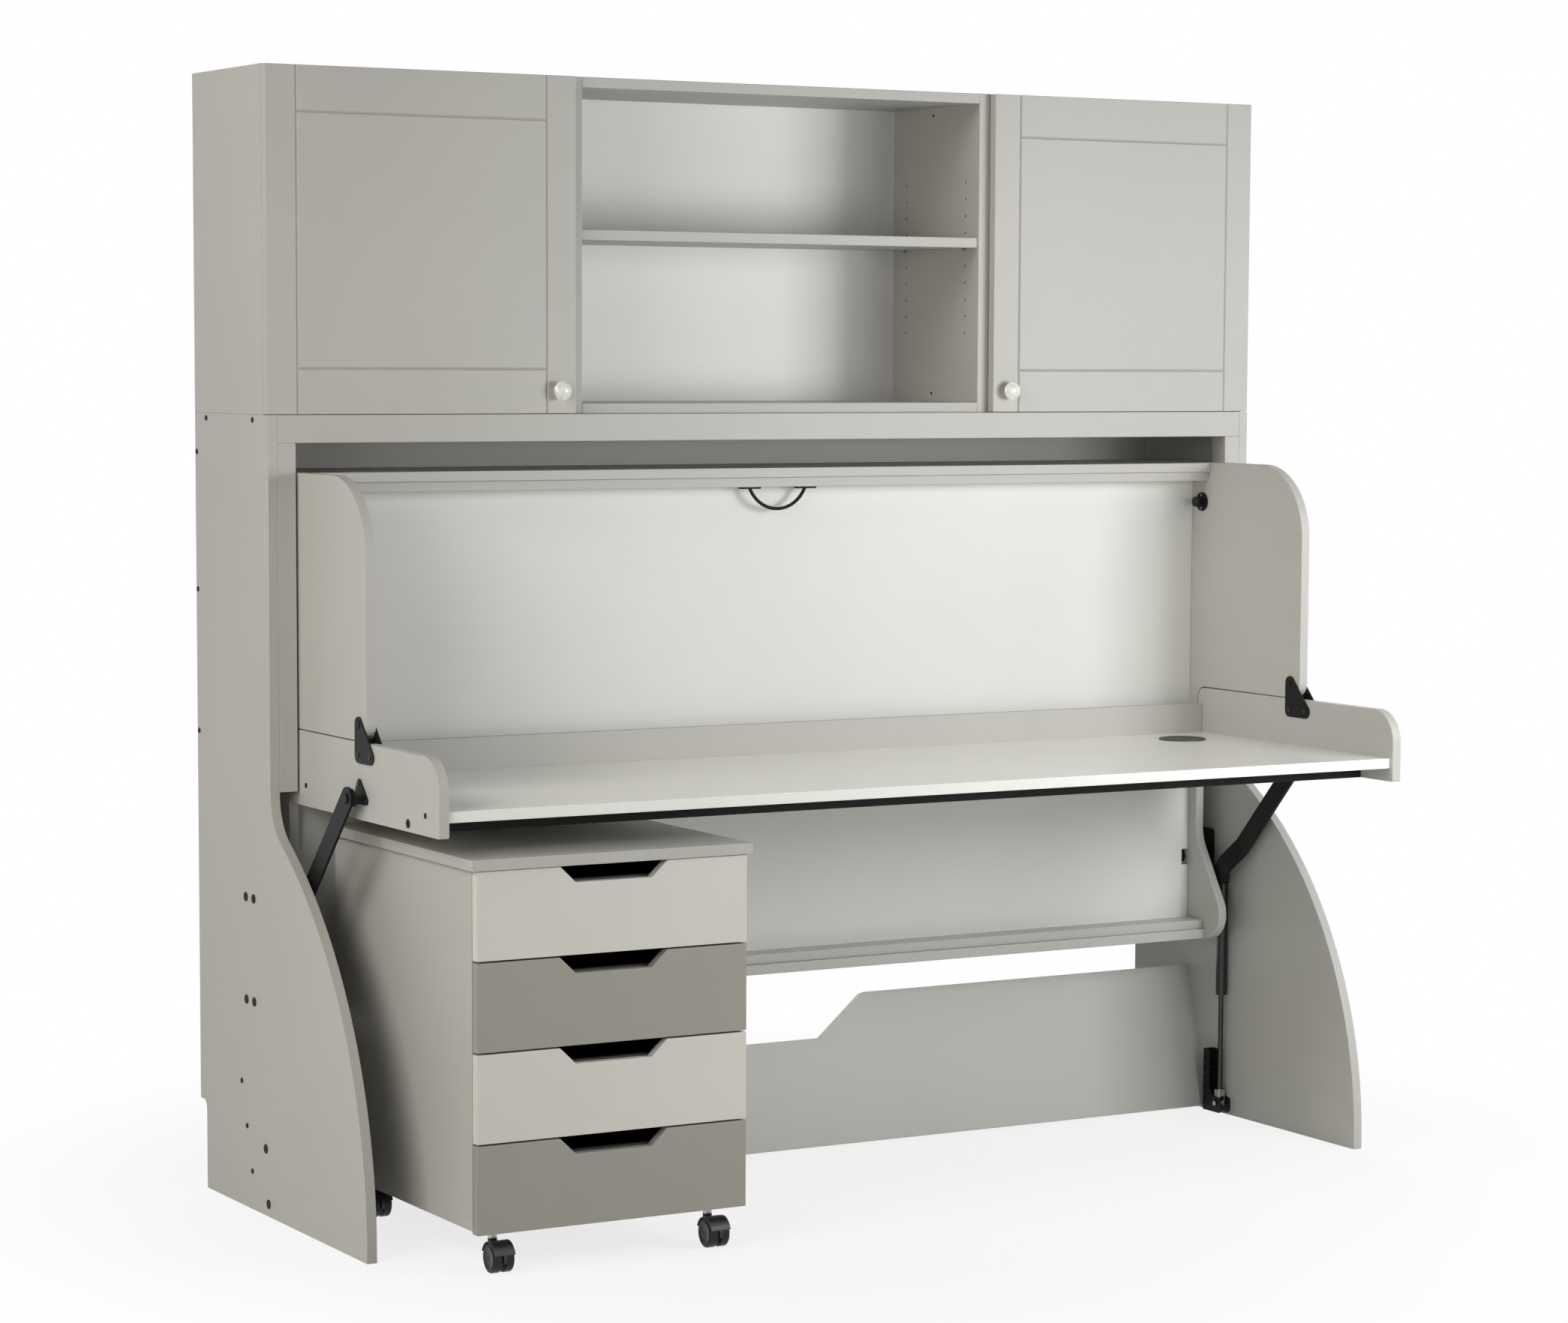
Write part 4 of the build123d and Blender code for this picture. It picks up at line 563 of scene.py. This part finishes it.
# %% Camera
YAW, PITCH, ROLL = math.radians(-29.89), math.radians(-5.26), math.radians(-0.28)
CAMERA_PLACE = point(-3776, 6950, 1534)
FOCAL_PIXELS, IMAGE_WIDTH, IMAGE_HEIGHT = 5411.0, 2090.0, 1764.0
CENTRE_X, CENTRE_Y = 1066.0, 969.0
SENSOR_WIDTH = 36.0
FARTHEST = 200.0
lay_flat()
bpy.ops.object.camera_add()
camera = bpy.context.object
pan, tilt = Matrix.Rotation(YAW, 4, "Z"), Matrix.Rotation(PITCH, 4, "X")
aim = pan @ tilt @ Matrix.Rotation(ROLL, 4, "Y")
upright = Matrix.Rotation(math.radians(90), 4, "X")
camera.matrix_world = Matrix.Translation(CAMERA_PLACE) @ aim @ upright
camera.data.sensor_width = SENSOR_WIDTH
camera.data.lens = FOCAL_PIXELS / IMAGE_WIDTH * SENSOR_WIDTH
camera.data.shift_x = -(CENTRE_X - IMAGE_WIDTH / 2) / IMAGE_WIDTH
camera.data.shift_y = (CENTRE_Y - IMAGE_HEIGHT / 2) / IMAGE_WIDTH
camera.data.clip_end = FARTHEST
bpy.context.scene.camera = camera
print("lens:", round(camera.data.lens, 1), "mm")

# %% [markdown]
# ## Floor and backdrop
# The studio sweep behind the furniture is pure white. The camera, and any shiny metal, should see
# that white, while the boards should only get the light of the lamps, so the Light Path node tells
# the two kinds of ray apart. Near the furniture the floor stays a real surface, which catches its
# shadow.

# %% Floor that fades to white
FLOOR_SIZE = 80
FLOOR_COLOUR, FLOOR_ROUGHNESS, FLOOR_SPECULAR = (0.9, 0.9, 0.9, 1), 0.9, 0.1
FADE_START, FADE_END, FADE_LEAST = 0.7, 1.9, 0.78


def seen_directly(tree):
    """One for camera, glossy and transmission rays, zero for the rays that carry light."""
    rays = tree.nodes.new("ShaderNodeLightPath")
    total = rays.outputs["Is Camera Ray"]
    for kind in ("Is Glossy Ray", "Is Transmission Ray"):
        either = tree.nodes.new("ShaderNodeMath")
        either.operation = "MAXIMUM"
        tree.links.new(total, either.inputs[0])
        tree.links.new(rays.outputs[kind], either.inputs[1])
        total = either.outputs["Value"]
    return total


lay_flat()
bpy.ops.mesh.primitive_plane_add(size=FLOOR_SIZE, location=(0, 0, 0))
floor = bpy.context.object
floor.name = "studio_floor"
floor_finish, tree, shader, place = new_finish("studio_floor")
shader.inputs["Base Color"].default_value = FLOOR_COLOUR
shader.inputs["Roughness"].default_value = FLOOR_ROUGHNESS
shader.inputs["Specular IOR Level"].default_value = FLOOR_SPECULAR
distance = tree.nodes.new("ShaderNodeVectorMath")
distance.operation = "LENGTH"
tree.links.new(place, distance.inputs[0])
fade = tree.nodes.new("ShaderNodeMapRange")
fade.interpolation_type = "SMOOTHSTEP"
fade.inputs["From Min"].default_value = FADE_START
fade.inputs["From Max"].default_value = FADE_END
fade.inputs["To Min"].default_value = FADE_LEAST
tree.links.new(distance.outputs["Value"], fade.inputs["Value"])
seen = tree.nodes.new("ShaderNodeMath")
seen.operation = "MULTIPLY"
tree.links.new(seen_directly(tree), seen.inputs[0])
tree.links.new(fade.outputs["Result"], seen.inputs[1])
glow = tree.nodes.new("ShaderNodeEmission")
blend = tree.nodes.new("ShaderNodeMixShader")
tree.links.new(seen.outputs["Value"], blend.inputs["Fac"])
tree.links.new(shader.outputs["BSDF"], blend.inputs[1])
tree.links.new(glow.outputs["Emission"], blend.inputs[2])
tree.links.new(blend.outputs["Shader"], tree.nodes["Material Output"].inputs["Surface"])
floor.data.materials.append(floor_finish)
print("floor:", floor.name)

# %% [markdown]
# ## Light
# Softboxes give the light. The main one stands close in front and to the right, level with the gap
# above the bed so that it reaches inside, with a small one beside it for the desk. Two slightly warm
# ones on the left open up the faces turned that way, and two more behind and to the right light the
# sides that the picture doesn't show. The world adds a little even light, as a white room does.

# %% World and softboxes
WHITE = (1, 1, 1, 1)
ROOM_LIGHT, BACKDROP_LIGHT = 0.03, 1.0
world = bpy.data.worlds.new("studio")
bpy.context.scene.world = world
world.use_nodes = True
tree = world.node_tree
room = tree.nodes["Background"]
room.inputs["Color"].default_value = WHITE
room.inputs["Strength"].default_value = ROOM_LIGHT
backdrop = tree.nodes.new("ShaderNodeBackground")
backdrop.inputs["Color"].default_value = WHITE
backdrop.inputs["Strength"].default_value = BACKDROP_LIGHT
blend = tree.nodes.new("ShaderNodeMixShader")
tree.links.new(seen_directly(tree), blend.inputs["Fac"])
tree.links.new(room.outputs["Background"], blend.inputs[1])
tree.links.new(backdrop.outputs["Background"], blend.inputs[2])
tree.links.new(blend.outputs["Shader"], tree.nodes["World Output"].inputs["Surface"])


def softbox(name, place, target, size, power, colour):
    """Large square lamp aimed at a target."""
    lay_flat()
    bpy.ops.object.light_add(type="AREA", location=place)
    lamp = bpy.context.object
    lamp.name = name
    lamp.data.size = size
    lamp.data.energy = power
    lamp.data.color = colour
    lamp.rotation_euler = (Vector(target) - Vector(place)).to_track_quat("-Z", "Y").to_euler()


CLEAR, WARM = (1.0, 1.0, 1.0), (1.0, 0.97, 0.9)
softbox("key_softbox", (1.7, -2.1, 1.6), (0.6, 0.0, 1.3), size=1.0, power=30.0, colour=CLEAR)
softbox("desk_softbox", (1.0, -2.0, 1.3), (0.6, 0.0, 1.0), size=0.8, power=12.0, colour=CLEAR)
softbox("left_softbox", (-2.8, -1.8, 1.6), (-0.6, 0.0, 0.9), size=1.0, power=20.0, colour=WARM)
softbox("left_high_softbox", (-5.5, -1.2, 4.2), (0.0, 0.0, 1.0), size=3.0, power=150.0, colour=WARM)
softbox("back_softbox", (2.6, 5.6, 2.6), (0.0, 0.0, 1.2), size=3.0, power=140.0, colour=CLEAR)
softbox("right_softbox", (6.2, 0.6, 2.4), (0.0, 0.0, 1.2), size=3.0, power=80.0, colour=CLEAR)
bpy.context.scene.view_settings.view_transform = "Standard"
